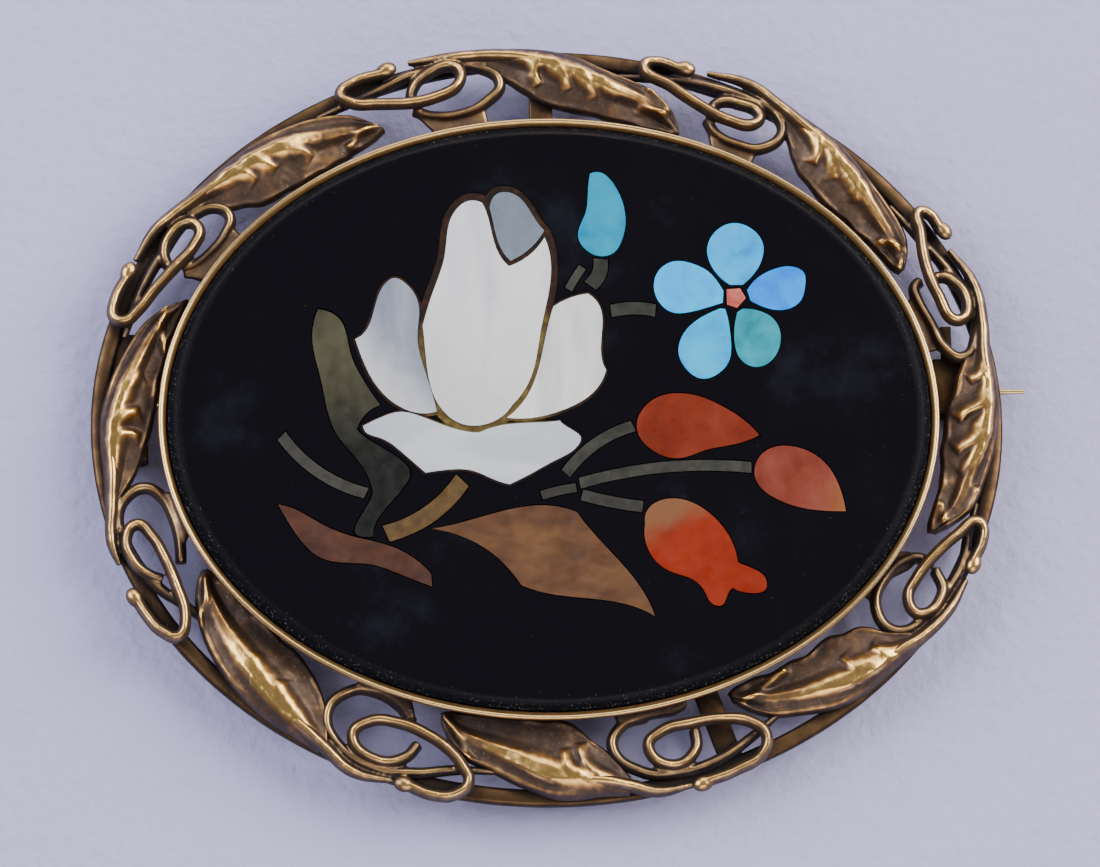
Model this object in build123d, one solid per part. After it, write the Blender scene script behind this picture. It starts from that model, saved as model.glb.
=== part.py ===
from build123d import *
import math
import os

# Oval gold brooch with an inlaid black marble plaque, lying face up on its catch and hinge.
# Millimetres. +Z comes out of the face, +X runs along the pin to its point, +Y is the top.

# Plaque and collet, all half sizes of ovals unless they say otherwise
RIM_LONG = 21.38
RIM_SHORT = 16.84
RIM_WIDTH = 0.48
RIM_LIP_DEPTH = 0.2
COLLET_WALL = 0.35
COLLET_FLOOR = 0.4
COLLET_UNDERCUT = 0.8
COLLET_HEIGHT = 2.4
COLLET_RAISE = 0.3
PLAQUE_GAP = 0.06
PLAQUE_STAND = 0.45
PLAQUE_BEVEL = 0.6
POCKET_DEPTH = 1.0
SEAT_GAP = 0.04
STONE_GAP = 0.06

# Openwork border round the collet
BORDER_ENDS = 3.72
BORDER_SIDES = 4.4
RING_WIDTH = 0.9
RING_THICK = 0.8
WIRE = 0.7
WIRE_SINK = 0.1
LEAF_SINK = 0.2
WIRE_LIFT = 0.8
GRANULE = 1.2
BEAD = 0.9
LEAF_BASE = 0.65
LEAF_RISE = 0.75
LEAF_AFTER_LOOP = 1.5
LEAF_PAST_TURN = 5.0
STRUT_WIDTH = 1.28
STRUT_THICK = 0.55
STRUT_TURNS = (0.0, 157.0)
BACK_SINK = 0.1
STUB = 0.6

# Pin, hinge and catch behind the frame
BACK_ROOM = 1.6
PIN_HIGH = 1.8
PIN_WIRE = 0.75
PIN_REACH = 1.5
PIN_TAPER = 9.0
PIN_POINT = 0.25
BARREL_LONG = 5.0
CHEEK_THICK = 1.0
HINGE_GAP = 0.05
HINGE_IN = 2.3
CATCH_IN = 2.9
CATCH_WIDE = 1.6
CATCH_STRIP = 0.35
CATCH_ROOM = 0.35
CATCH_PLATE = 3.0
CATCH_FOOT = 2.8
CATCH_TAB = 0.6
CATCH_TONGUE = 2.1
CATCH_LIP = 0.45

# Heights that follow from the sizes above
RING_TOP = BACK_ROOM + RING_THICK
RIM_TOP = BACK_ROOM + COLLET_RAISE + COLLET_HEIGHT
COLLET_BOTTOM = RIM_TOP - COLLET_HEIGHT
TABLE = RIM_TOP + PLAQUE_STAND
LOW_WIRE = RING_TOP + WIRE / 2 - WIRE_SINK
HIGH_WIRE = LOW_WIRE + WIRE_LIFT
PIN_LEVEL = BACK_ROOM / 2
RING_LONG = RIM_LONG + BORDER_ENDS
RING_SHORT = RIM_SHORT + BORDER_SIDES

# The origin is under the middle of the whole brooch, and the pin's point stands out on one side
PLAQUE_X = -PIN_REACH / 2

# Scroll units clockwise from the top. Angles are degrees round the oval: turn is where the upper wire
# doubles back, granule its soldered start, back and curl the two ends of its curl, loop the far end of
# the lower wire's loop. The shares run from 0 at the rim to 1 at the frame's edge: low and high are the
# curl's two sides, and reach is how near the loop comes to the rim.
SCROLL_COLUMNS = ("turn", "granule", "back", "curl", "loop", "low", "high", "reach")
SCROLLS = (
    (-26.8, -19.9, -18.0, -10.6, -5.4, 0.49, 0.84, 0.27),
    (13.4, 18.9, 23.8, 30.8, 34.3, 0.49, 0.77, 0.26),
    (56.4, 60.9, 65.9, 74.4, 79.9, 0.49, 0.83, 0.25),
    (107.0, 113.3, 116.2, 124.3, 128.2, 0.39, 0.81, 0.10),
    (151.4, 161.8, 160.2, 167.6, 172.4, 0.25, 0.71, 0.06),
    (191.3, 199.4, 199.8, 208.0, 212.4, 0.28, 0.82, 0.05),
    (235.4, 243.7, 244.2, 253.7, 259.4, 0.43, 0.85, 0.08),
    (286.2, 294.1, 297.5, 305.4, 310.3, 0.43, 0.79, 0.21),
)

# Sections along a leaf, from its stem to its tip: share of its length, then shares across the border of
# its outer edge, its ridge and its inner edge, and the ridge's height as a share of LEAF_RISE.
LEAF_COLUMNS = ("along", "outer", "ridge", "inner", "height")
LEAF = (
    (0.00, 0.97, 0.90, 0.80, 0.10),
    (0.15, 0.99, 0.87, 0.52, 0.55),
    (0.35, 0.97, 0.80, 0.22, 0.95),
    (0.58, 0.90, 0.70, 0.04, 1.00),
    (0.78, 0.74, 0.52, -0.08, 0.90),
    (0.93, 0.52, 0.36, -0.05, 0.60),
    (1.00, 0.34, 0.24, 0.08, 0.25),
)

# The inlay is drawn on a table of this half length and half height, and stretches with the plaque
DRAWN_LONG = 20.4
DRAWN_SHORT = 15.8

# Freely cut stones. Each side runs between two sharp corners, and its points follow the cut.
OUTLINES = {
    "left_petal": (
        ((-10.6, 4.3), (-9.35, 6.6), (-8.95, 7.35), (-8.45, 7.7), (-7.8, 7.4), (-7.1, 6.2), (-7.2, 4.4),
         (-6.8, 2.4), (-6.2, 0.2)),
        ((-6.2, 0.2), (-7.2, 0.12), (-8.4, 0.6), (-9.5, 1.7), (-10.2, 3.1), (-10.6, 4.3)),
    ),
    "centre_petal": (
        ((-3.5, 11.9), (-4.3, 12.0), (-5.1, 11.3), (-5.6, 9.0), (-6.3, 6.9), (-6.9, 5.0)),
        ((-6.9, 5.0), (-6.7, 2.6), (-6.0, 0.4), (-4.9, -0.5), (-3.4, -0.5), (-2.1, 0.5)),
        ((-2.1, 0.5), (-0.9, 2.4), (-0.4, 4.8), (0.1, 7.0), (0.2, 8.7), (-0.1, 9.9)),
        ((-0.1, 9.9), (-1.1, 8.8), (-2.1, 8.3)),
        ((-2.1, 8.3), (-2.8, 9.4), (-3.1, 10.7), (-3.5, 11.9)),
    ),
    "grey_tip": (
        ((-3.1, 11.6), (-2.3, 12.5), (-1.6, 12.3), (-0.8, 11.3), (-0.1, 10.3)),
        ((-0.1, 10.3), (-0.9, 9.3), (-2.0, 8.6)),
        ((-2.0, 8.6), (-2.6, 9.5), (-2.9, 10.7), (-3.1, 11.6)),
    ),
    "right_petal": (
        ((0.3, 6.0), (1.3, 6.5), (2.2, 6.7)),
        ((2.2, 6.7), (2.9, 5.8), (2.9, 4.3), (3.1, 2.4)),
        ((3.1, 2.4), (2.3, 1.1), (0.7, 0.2), (-0.8, -0.2), (-2.4, -0.2)),
        ((-2.4, -0.2), (-0.9, 1.7), (-0.2, 4.2), (0.3, 6.0)),
    ),
    "lower_petal": (
        ((-10.25, -0.55), (-9.3, -0.1), (-8.2, 0.2), (-7.0, -0.1), (-5.2, -0.8), (-3.9, -1.0)),
        ((-3.9, -1.0), (-2.6, -0.6), (-1.1, -0.5), (0.5, -0.4)),
        ((0.5, -0.4), (1.2, -0.95), (1.62, -1.4), (1.4, -1.85), (0.2, -2.6), (-1.1, -3.3), (-2.3, -3.9)),
        ((-2.3, -3.9), (-3.0, -3.7), (-4.4, -3.1), (-5.7, -3.05), (-6.9, -3.2)),
        ((-6.9, -3.2), (-8.1, -2.1), (-9.3, -1.25), (-10.15, -0.85), (-10.25, -0.55)),
    ),
    "green_leaf": (
        ((-12.6, 6.0), (-12.95, 4.4), (-12.5, 2.0), (-11.7, -1.0), (-10.4, -2.7), (-9.8, -4.1)),
        ((-9.8, -4.1), (-10.3, -5.3), (-10.8, -6.4), (-9.8, -6.7)),
        ((-9.8, -6.7), (-8.8, -4.8), (-7.75, -3.1), (-8.9, -2.0), (-10.6, -0.75)),
        ((-10.6, -0.75), (-10.1, 0.1), (-9.3, 0.6)),
        ((-9.3, 0.6), (-10.2, 2.0), (-10.9, 3.6), (-11.2, 5.0), (-12.6, 6.0)),
    ),
    "left_brown_leaf": (
        ((-14.95, -4.85), (-14.2, -5.05), (-12.7, -5.9), (-11.0, -6.65), (-9.1, -7.15), (-7.5, -8.0),
         (-6.7, -8.8)),
        ((-6.7, -8.8), (-6.65, -9.5)),
        ((-6.65, -9.5), (-8.7, -8.65), (-10.1, -8.2), (-11.6, -8.1), (-12.7, -7.8), (-13.7, -6.9),
         (-14.95, -4.85)),
    ),
    "large_brown_leaf": (
        ((-6.6, -6.3), (-3.6, -5.6), (-0.4, -5.1), (1.3, -5.5)),
        ((1.3, -5.5), (2.9, -7.5), (4.6, -9.6), (5.4, -11.3)),
        ((5.4, -11.3), (3.4, -10.5), (0.4, -10.1), (-1.8, -9.5)),
        ((-1.8, -9.5), (-3.5, -7.6), (-6.6, -6.3)),
    ),
    "flower_eye": (
        ((9.85, 6.85), (10.6, 6.9)),
        ((10.6, 6.9), (10.9, 6.35)),
        ((10.9, 6.35), (10.4, 5.8)),
        ((10.4, 5.8), (9.85, 6.0)),
        ((9.85, 6.0), (9.85, 6.85)),
    ),
    "lower_berry": (
        ((5.0, -6.2), (5.3, -5.25), (6.1, -4.85), (7.2, -4.9), (8.7, -5.8), (9.6, -7.0), (10.0, -8.4)),
        ((10.0, -8.4), (10.8, -8.75), (11.5, -9.35), (11.5, -9.85), (10.6, -10.1), (9.7, -9.8)),
        ((9.7, -9.8), (9.35, -10.25), (9.05, -10.75), (8.6, -10.7), (8.1, -9.9), (7.3, -9.2),
         (6.3, -8.85), (5.4, -8.1), (5.0, -7.2), (5.0, -6.2)),
    ),
    "upper_berry": (
        ((11.4, -1.35), (10.4, -0.35), (9.4, 0.3), (8.2, 0.85), (6.9, 1.05), (5.9, 0.85), (5.1, 0.25),
         (4.7, -0.6), (4.85, -1.4), (5.5, -2.1), (6.5, -2.55), (7.4, -2.5), (8.4, -2.15), (9.7, -1.9),
         (11.4, -1.35)),
    ),
    "right_berry": (
        ((16.0, -5.65), (15.7, -4.3), (15.0, -3.0), (14.2, -2.35), (13.2, -2.0), (12.3, -2.0),
         (11.5, -2.4), (11.1, -3.1), (11.1, -3.75), (11.5, -4.4), (12.3, -4.95), (13.3, -5.35),
         (14.7, -5.6), (16.0, -5.65)),
    ),
    "bud": (
        ((2.5, 13.5), (3.1, 13.55), (3.85, 12.8), (4.3, 11.7), (4.4, 10.8), (4.2, 9.8), (3.7, 9.0),
         (3.0, 8.8), (2.2, 9.15), (1.75, 9.9), (1.85, 10.5), (2.2, 11.3), (2.35, 12.4), (2.5, 13.5)),
    ),
    "petal_top": (
        ((10.05, 7.1), (9.6, 7.45), (9.05, 8.2), (8.85, 9.2), (9.3, 10.1), (10.3, 10.6), (11.3, 10.3),
         (11.95, 9.4), (11.85, 8.5), (11.3, 7.6), (10.75, 7.1)),
        ((10.75, 7.1), (10.05, 7.1)),
    ),
    "petal_right": (
        ((10.98, 6.8), (11.6, 7.5), (12.6, 8.0), (13.5, 8.1), (14.15, 7.75), (14.2, 7.0), (13.95, 6.2),
         (13.2, 5.7), (12.4, 5.68), (11.6, 5.95), (11.15, 6.2)),
        ((11.15, 6.2), (10.98, 6.8)),
    ),
    "petal_lower_right": (
        ((10.7, 5.75), (11.2, 5.72), (11.8, 5.55), (12.4, 5.15), (12.75, 4.3), (12.5, 3.2), (11.8, 2.55),
         (11.1, 2.5), (10.45, 3.0), (10.2, 3.9), (10.25, 4.9), (10.4, 5.55)),
        ((10.4, 5.55), (10.7, 5.75)),
    ),
    "petal_lower_left": (
        ((9.75, 5.75), (9.9, 5.1), (10.0, 4.1), (9.9, 2.9), (9.3, 2.15), (8.3, 1.85), (7.5, 2.4),
         (7.1, 3.3), (7.35, 4.3), (8.1, 5.1), (8.9, 5.55), (9.45, 5.78)),
        ((9.45, 5.78), (9.75, 5.75)),
    ),
    "petal_left": (
        ((9.68, 6.75), (9.4, 7.25), (8.9, 7.85), (8.1, 8.3), (6.9, 8.45), (6.1, 7.9), (5.85, 7.0),
         (6.1, 6.2), (6.8, 5.6), (7.8, 5.6), (8.8, 5.85), (9.62, 6.1)),
        ((9.62, 6.1), (9.68, 6.75)),
    ),
}

# Narrow stems, each a strip of one width along a gentle curve through three points
STEM_COLUMNS = ("from_x", "from_y", "by_x", "by_y", "to_x", "to_y", "width")
STEMS = {
    "left_stem": (-14.7, -1.05, -12.7, -3.1, -10.15, -4.3, 0.62),
    "tan_stem": (-4.9, -3.65, -6.8, -5.55, -9.1, -6.55, 0.95),
    "bud_stem": (2.95, 8.65, 2.85, 7.8, 2.35, 7.15, 0.8),
    "bud_stem_foot": (1.95, 8.2, 1.6, 7.7, 1.15, 6.95, 0.45),
    "flower_stem": (3.45, 5.7, 4.7, 5.85, 5.9, 5.7, 0.7),
    "upper_berry_stem": (0.75, -3.35, 2.3, -1.8, 4.5, -0.75, 0.62),
    "right_berry_stem": (1.5, -3.9, 5.6, -3.12, 10.9, -3.15, 0.6),
    "lower_berry_stem": (1.6, -4.55, 3.4, -5.0, 4.9, -5.25, 0.62),
    "stem_fork": (-0.6, -4.55, 0.3, -4.3, 1.3, -4.15, 0.5),
}

# White petals that share one pocket, with the width of setting wax outside each
WAX_LINES = {
    "left_petal": 0.16,
    "centre_petal": 0.42,
    "grey_tip": 0.36,
    "right_petal": 0.16,
    "lower_petal": 0.12,
}
WAX_SINK = 0.06
WAX_GAP = 0.02


def named(columns, row):
    """One row of a table as a dictionary under its column names."""
    return dict(zip(columns, row))


def oval(half_long, half_short, level):
    """A flat elliptical face about the plaque's middle."""
    return Pos(PLAQUE_X, 0, level) * Ellipse(half_long, half_short)


def rim_oval(inset, level):
    """The rim's own outline, drawn in by a distance."""
    return oval(RIM_LONG - inset, RIM_SHORT - inset, level)


def at(angle, across, level):
    """A point of the border: degrees clockwise from the top, share from the rim to the edge, height."""
    turn = math.radians(angle)
    half_long = RIM_LONG + across * BORDER_ENDS
    half_short = RIM_SHORT + across * BORDER_SIDES
    return Vector(PLAQUE_X + half_long * math.sin(turn), half_short * math.cos(turn), level)


def wire_along(points, thickness):
    """A round wire along straight runs joined by tangent arcs."""
    radii = []
    for before, corner, after in zip(points, points[1:], points[2:]):
        run_in = corner - before
        run_out = after - corner
        turn = math.radians(run_in.get_angle(run_out))
        radii.append(0.45 * min(run_in.length, run_out.length) / math.tan(turn / 2))
    path = FilletPolyline(*points, radius=radii)
    return sweep(Plane(path @ 0, z_dir=path % 0) * Circle(thickness / 2), path=path)


def collet():
    """Rim, undercut wall and back plate that hold the plaque."""
    shoulder = RIM_TOP - RIM_LIP_DEPTH
    outside = loft([rim_oval(COLLET_UNDERCUT, COLLET_BOTTOM), rim_oval(0, shoulder)], ruled=True)
    outside += extrude(rim_oval(0, shoulder), RIM_LIP_DEPTH)
    floor = COLLET_BOTTOM + COLLET_FLOOR
    drawn_in = COLLET_UNDERCUT * (shoulder - floor) / (shoulder - COLLET_BOTTOM)
    hollow = loft([rim_oval(COLLET_WALL + drawn_in, floor), rim_oval(COLLET_WALL, shoulder)], ruled=True)
    mouth = extrude(rim_oval(RIM_WIDTH, shoulder), RIM_LIP_DEPTH)
    return outside - hollow - mouth


def base_ring():
    """The flat oval wire that the whole border is soldered to."""
    outer = oval(RING_LONG, RING_SHORT, BACK_ROOM)
    inner = oval(RING_LONG - RING_WIDTH, RING_SHORT - RING_WIDTH, BACK_ROOM)
    return extrude(outer - inner, RING_THICK)


def upper_wire(u):
    """Granule back to the U-turn, inward and clockwise, then round in a curl that ends by itself."""
    turn, granule, back, curl = u["turn"], u["granule"], u["back"], u["curl"]
    low, high = u["low"], u["high"]
    middle = (low + high) / 2
    length = curl - back
    route = (
        (granule, 0.98),
        (turn + 0.45 * (granule - turn), 1.01),
        (turn + 0.3, 0.98),
        (turn - 0.7, 0.84),
        (turn + 1.2, 0.67),
        (turn + 0.55 * (back - turn), low + 0.1),
        (back + 0.1 * length, low + 0.02),
        (back + 0.7 * length, low - 0.02),
        (curl + 0.1 * length, middle - 0.08),
        (curl, high),
        (back + 0.55 * length, high + 0.03),
        (back + 0.05 * length, high - 0.07),
        (back - 0.06 * length, low + 0.24),
    )
    return wire_along([at(angle, across, HIGH_WIRE) for angle, across in route], WIRE)


def lower_wire(u):
    """From under the last leaf along the edge, then a wide loop that nearly meets the rim."""
    turn, granule, back, curl, loop = (u[name] for name in ("turn", "granule", "back", "curl", "loop"))
    reach = u["reach"]
    length = loop - back
    route = (
        (turn - 2.0, 0.68),
        (turn + 0.4 * (granule - turn), 0.77),
        (back, 0.84),
        (curl - 0.2 * length, 0.88),
        (loop - 0.1 * length, 0.84),
        (loop + 0.05 * length, 0.62),
        (loop - 0.05 * length, reach + 0.1),
        (loop - 0.4 * length, reach - 0.03),
        (back + 0.2 * length, reach),
        (back + 0.02 * length, reach + 0.14),
    )
    return wire_along([at(angle, across, LOW_WIRE) for angle, across in route], WIRE)


def stem_wire(u, leaf_start):
    """The outer stem, from beside the granule to just inside the foot of the next leaf."""
    start = u["granule"] + 1.0
    run = leaf_start + 1.5 - start
    route = [start + run * share for share in (0, 0.25, 0.5, 0.75, 1)]
    return wire_along([at(angle, 0.97, LOW_WIRE) for angle in route], WIRE)


def solder(u):
    """Granule at the wires' start, beads where they cross, and the stub that meets the collet."""
    middle = (u["back"] + u["loop"]) / 2
    granule = ball(u["granule"], 0.97, GRANULE)
    crossing = ball(u["turn"] + 1.6, 0.73, BEAD)
    tail = ball(u["back"], u["low"] + 0.14, BEAD)
    stub = stub_between(at(middle, u["reach"], LOW_WIRE), at(middle, -0.17, LOW_WIRE))
    return [granule, crossing, tail, stub]


def ball(angle, across, size):
    """A ball between the two wires, with its poles across the border and so clear of them."""
    half_lift = (LOW_WIRE + HIGH_WIRE) / 2
    centre = at(angle, across, half_lift)
    return Plane(centre, z_dir=at(angle, across + 1, half_lift) - centre) * Sphere(size / 2)


def stub_between(start, end):
    """A straight stub of wire between two points."""
    axis = end - start
    upright = (Align.CENTER, Align.CENTER, Align.MIN)
    return Plane(start, z_dir=axis) * Cylinder(STUB / 2, axis.length, align=upright)


def leaf(start, end):
    """A domed leaf lofted through flat-bottomed sections across the border."""
    foot = RING_TOP - LEAF_SINK
    edge = foot + LEAF_BASE
    sections = []
    for row in LEAF:
        s = named(LEAF_COLUMNS, row)
        angle = start + s["along"] * (end - start)
        crown = edge + s["height"] * LEAF_RISE
        corners = (
            at(angle, s["inner"], foot),
            at(angle, s["outer"], foot),
            at(angle, s["outer"], edge),
            at(angle, s["ridge"], crown),
            at(angle, s["inner"], edge),
        )
        sections.append(make_face(Polyline(*corners, close=True)))
    return loft(sections, ruled=True)


def strut(angle):
    """A short bar from the base ring in to the collet."""
    outer = at(angle, 0.9, BACK_ROOM + BACK_SINK)
    inner = at(angle, -0.3, BACK_ROOM + BACK_SINK)
    run = outer - inner
    bar = Box(run.length, STRUT_WIDTH, STRUT_THICK, align=(Align.MIN, Align.CENTER, Align.MIN))
    return Plane(inner, x_dir=run, z_dir=(0, 0, 1)) * bar


def hinge_cheeks():
    """Two lugs under the ring, one at each end of the pin's barrel."""
    centre_x = PLAQUE_X - RING_LONG + HINGE_IN
    lugs = []
    for side in (-1, 1):
        middle = PIN_HIGH + side * (BARREL_LONG / 2 + HINGE_GAP + CHEEK_THICK / 2)
        height = BACK_ROOM - PIN_LEVEL + BACK_SINK
        foot = Box(PIN_LEVEL * 2, CHEEK_THICK, height, align=(Align.CENTER, Align.CENTER, Align.MIN))
        knuckle = Rot(90, 0, 0) * Cylinder(PIN_LEVEL, CHEEK_THICK)
        lugs.append(Pos(centre_x, middle, PIN_LEVEL) * (foot + knuckle))
    return lugs


def hinge_bridge():
    """The plate that carries both lugs, soldered in under the ring."""
    wide = BARREL_LONG + 2 * (HINGE_GAP + CHEEK_THICK)
    left = PLAQUE_X - RING_LONG + RING_WIDTH
    right = PLAQUE_X - RING_LONG + HINGE_IN + PIN_LEVEL
    plate = Box(right - left, wide, STRUT_THICK, align=(Align.MIN, Align.CENTER, Align.MIN))
    return Pos(left, PIN_HIGH, BACK_ROOM) * plate


def catch():
    """A hook bent from strip: back, tongue that the brooch lies on, and a lip, under a plate with a tab."""
    middle = PLAQUE_X + RING_LONG - CATCH_IN
    left = middle - CATCH_WIDE / 2
    right = PLAQUE_X + RING_LONG - RING_WIDTH
    back = PIN_HIGH + PIN_WIRE / 2 + CATCH_ROOM
    low = CATCH_STRIP / 2
    tip = back - CATCH_TONGUE
    side = Polyline((back, BACK_ROOM), (back, low), (tip, low), (tip, low + CATCH_LIP))
    strip = extrude(trace(side, line_width=CATCH_STRIP), CATCH_WIDE / 2, both=True)
    hook = Plane((middle, 0, 0), x_dir=(0, 1, 0), z_dir=(1, 0, 0)) * strip
    base = BACK_ROOM - BACK_SINK
    corner = (Align.MIN, Align.MIN, Align.MIN)
    plate = Pos(left, tip, base) * Box(right - left, CATCH_PLATE, STRUT_THICK, align=corner)
    tab = Pos(middle - CATCH_TAB / 2, back, base) * Box(CATCH_TAB, CATCH_FOOT, CATCH_STRIP, align=corner)
    return hook + plate + tab


def scroll_unit(u, leaf_end):
    """One unit of the border: its three wires, their solder, and the leaf that the stem grows into."""
    leaf_start = u["loop"] + LEAF_AFTER_LOOP
    wires = [lower_wire(u), stem_wire(u, leaf_start)]
    return upper_wire(u).fuse(*wires, leaf(leaf_start, leaf_end), *solder(u))


def gold_mount():
    """Everything of gold that is soldered into one piece."""
    mount = base_ring().fuse(*[strut(turn) for turn in STRUT_TURNS], hinge_bridge(), catch(), *hinge_cheeks())
    units = [named(SCROLL_COLUMNS, row) for row in SCROLLS]
    next_turns = [unit["turn"] for unit in units[1:]] + [units[0]["turn"] + 360]
    for unit, next_turn in zip(units, next_turns):
        mount = mount.fuse(scroll_unit(unit, next_turn + LEAF_PAST_TURN))
    return mount.fuse(collet())


def pin_stem():
    """The pin: a barrel for the hinge and a stem that tapers to its point, in one plain piece."""
    hinge_x = PLAQUE_X - RING_LONG + HINGE_IN
    tip_x = PLAQUE_X + RING_LONG + PIN_REACH
    barrel = Rot(90, 0, 0) * Cylinder(PIN_LEVEL - HINGE_GAP, BARREL_LONG)
    straight = tip_x - PIN_TAPER - hinge_x
    upright = (Align.CENTER, Align.CENTER, Align.MIN)
    stem = Rot(0, 90, 0) * Cylinder(PIN_WIRE / 2, straight, align=upright)
    point = Pos(straight, 0, 0) * Rot(0, 90, 0) * Cone(PIN_WIRE / 2, PIN_POINT / 2, PIN_TAPER, align=upright)
    return Pos(hinge_x, PIN_HIGH, PIN_LEVEL) * (barrel + stem + point)


def on_table(x, y):
    """A drawn point moved to the real table, which may be longer or higher than the drawing."""
    drawn_in = COLLET_WALL + PLAQUE_GAP + PLAQUE_BEVEL
    return Vector(
        PLAQUE_X + x * (RIM_LONG - drawn_in) / DRAWN_LONG,
        y * (RIM_SHORT - drawn_in) / DRAWN_SHORT,
    )


def stem_outline(s):
    """A strip of one width along the curve through three points."""
    start = Vector(s["from_x"], s["from_y"])
    by = Vector(s["by_x"], s["by_y"])
    end = Vector(s["to_x"], s["to_y"])
    run_in, run_out = (by - start).normalized(), (end - by).normalized()
    left, right = [], []
    for point, head in ((start, run_in), (by, (run_in + run_out).normalized()), (end, run_out)):
        side = Vector(-head.Y, head.X) * s["width"] / 2
        left.append(point + side)
        right.insert(0, point - side)
    return [left, [left[-1], right[0]], right, [right[-1], left[0]]]


def stone_outlines():
    """The sides of every stone's cut outline on the table, by node name."""
    drawn = {name: [[Vector(*point) for point in side] for side in sides] for name, sides in OUTLINES.items()}
    for name, row in STEMS.items():
        drawn[name] = stem_outline(named(STEM_COLUMNS, row))
    return {name: [[on_table(p.X, p.Y) for p in side] for side in sides] for name, sides in drawn.items()}


def outward(before, point, after, sense):
    """Unit step out of an outline at a point, longer at a sharp corner so that both sides move alike."""
    run_in, run_out = (point - before).normalized(), (after - point).normalized()
    step_in = Vector(run_in.Y, -run_in.X) * sense
    step_out = Vector(run_out.Y, -run_out.X) * sense
    return (step_in + step_out) / max(0.5, 1 + step_in.dot(step_out))


def grown(sides, amount):
    """The same outline with every side moved outward."""
    ring = [point for side in sides for point in side]
    area = sum(p.X * q.Y - q.X * p.Y for p, q in zip(ring, ring[1:] + ring[:1]))
    sense = math.copysign(1, area)
    moved = []
    for side, last, following in zip(sides, sides[-1:] + sides[:-1], sides[1:] + sides[:1]):
        befores = [last[-2], *side[:-1]]
        afters = [*side[1:], following[1]]
        moved.append([p + outward(b, p, a, sense) * amount for b, p, a in zip(befores, side, afters)])
    return moved


def cut_face(sides):
    """A flat face whose sides are smooth curves between sharp corners."""
    return make_face([Line(*side) if len(side) == 2 else Spline(*side) for side in sides])


def flower_mastic(outlines):
    """Setting wax in the white flower's pocket, round and between its petals."""
    wax = Sketch()
    for name, line in WAX_LINES.items():
        wax += cut_face(grown(outlines[name], line - WAX_GAP))
    for name in (*WAX_LINES, "green_leaf"):
        wax -= cut_face(grown(outlines[name], WAX_GAP))
    seat = TABLE - POCKET_DEPTH + SEAT_GAP
    return Pos(0, 0, seat) * extrude(wax, POCKET_DEPTH - SEAT_GAP - WAX_SINK)


def plaque(pockets):
    """Black marble slab: undercut edge, bevel up from the rim to the table, a pocket for each stone."""
    shoulder = RIM_TOP - RIM_LIP_DEPTH
    bottom = COLLET_BOTTOM + COLLET_FLOOR + SEAT_GAP
    widest = shoulder - RIM_LIP_DEPTH
    slope = COLLET_UNDERCUT / (shoulder - COLLET_BOTTOM)
    edge = COLLET_WALL + PLAQUE_GAP
    girdle = rim_oval(edge + slope * (shoulder - widest), widest)
    slab = loft([rim_oval(edge + slope * (shoulder - bottom), bottom), girdle], ruled=True)
    neck = rim_oval(RIM_WIDTH + SEAT_GAP, widest)
    neck_height = RIM_TOP - SEAT_GAP - widest
    slab += extrude(neck, neck_height)
    slab += loft([Pos(0, 0, neck_height) * neck, rim_oval(edge + PLAQUE_BEVEL, TABLE)], ruled=True)
    return slab - Pos(0, 0, TABLE - POCKET_DEPTH) * extrude(pockets, POCKET_DEPTH * 2)


def write(name, shape):
    """One STEP file for one piece."""
    export_step(shape, f"parts/{name}.step")


def main():
    os.makedirs("parts", exist_ok=True)
    outlines = stone_outlines()
    pockets = Sketch()
    for name, sides in outlines.items():
        pockets += cut_face(grown(sides, WAX_LINES.get(name, STONE_GAP)))
        stone = extrude(cut_face(sides), POCKET_DEPTH - SEAT_GAP)
        write(name, Pos(0, 0, TABLE - POCKET_DEPTH + SEAT_GAP) * stone)
    write("flower_mastic", flower_mastic(outlines))
    write("plaque", plaque(pockets))
    write("pin_stem", pin_stem())
    write("gold_mount", gold_mount())


main()
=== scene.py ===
import math

import bmesh
import bpy
import numpy as np
from mathutils import Matrix, Vector, noise


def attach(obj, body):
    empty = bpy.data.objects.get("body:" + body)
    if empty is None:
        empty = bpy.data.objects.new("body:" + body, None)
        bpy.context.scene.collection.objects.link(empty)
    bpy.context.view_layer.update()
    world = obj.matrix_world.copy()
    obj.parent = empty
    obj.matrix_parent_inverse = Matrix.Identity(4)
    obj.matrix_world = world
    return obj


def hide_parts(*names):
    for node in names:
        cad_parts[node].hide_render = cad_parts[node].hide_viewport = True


# An oval gold brooch with an inlaid black marble plaque. Lengths are millimetres until a piece is
# finished, and then metres. Angles round the border are degrees clockwise from the top, and a share
# across it runs from 0 at the rim's outer edge to 1 at the frame's edge.

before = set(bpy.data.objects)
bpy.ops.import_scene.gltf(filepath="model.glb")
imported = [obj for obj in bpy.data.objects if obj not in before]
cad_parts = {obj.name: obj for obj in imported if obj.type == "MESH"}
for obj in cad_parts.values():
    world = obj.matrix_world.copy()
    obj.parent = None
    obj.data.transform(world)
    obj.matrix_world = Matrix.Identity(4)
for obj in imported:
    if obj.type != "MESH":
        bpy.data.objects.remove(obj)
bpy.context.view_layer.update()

MM = 0.001

# Sizes that the border shares with the solids. The rim's are half sizes of its outer oval, and the
# border reaches further out from it at its sides than at its ends.
RIM_LONG = 21.38
RIM_SHORT = 16.84
RIM_WIDE = 0.44
BORDER_ENDS = 3.72
BORDER_SIDES = 4.4
PLAQUE_X = -0.75
BACK_ROOM = 1.6
RING_WIDTH = 0.9
COLLET_BOTTOM = 1.9
RIM_TOP = 4.3
TABLE = 4.75
RIM_INNER_LONG = RIM_LONG - RIM_WIDE
RIM_INNER_SHORT = RIM_SHORT - RIM_WIDE

# Heights of the middle of the border's lower and upper wires
LOW_WIRES = 2.7
HIGH_WIRES = 3.5


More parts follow.
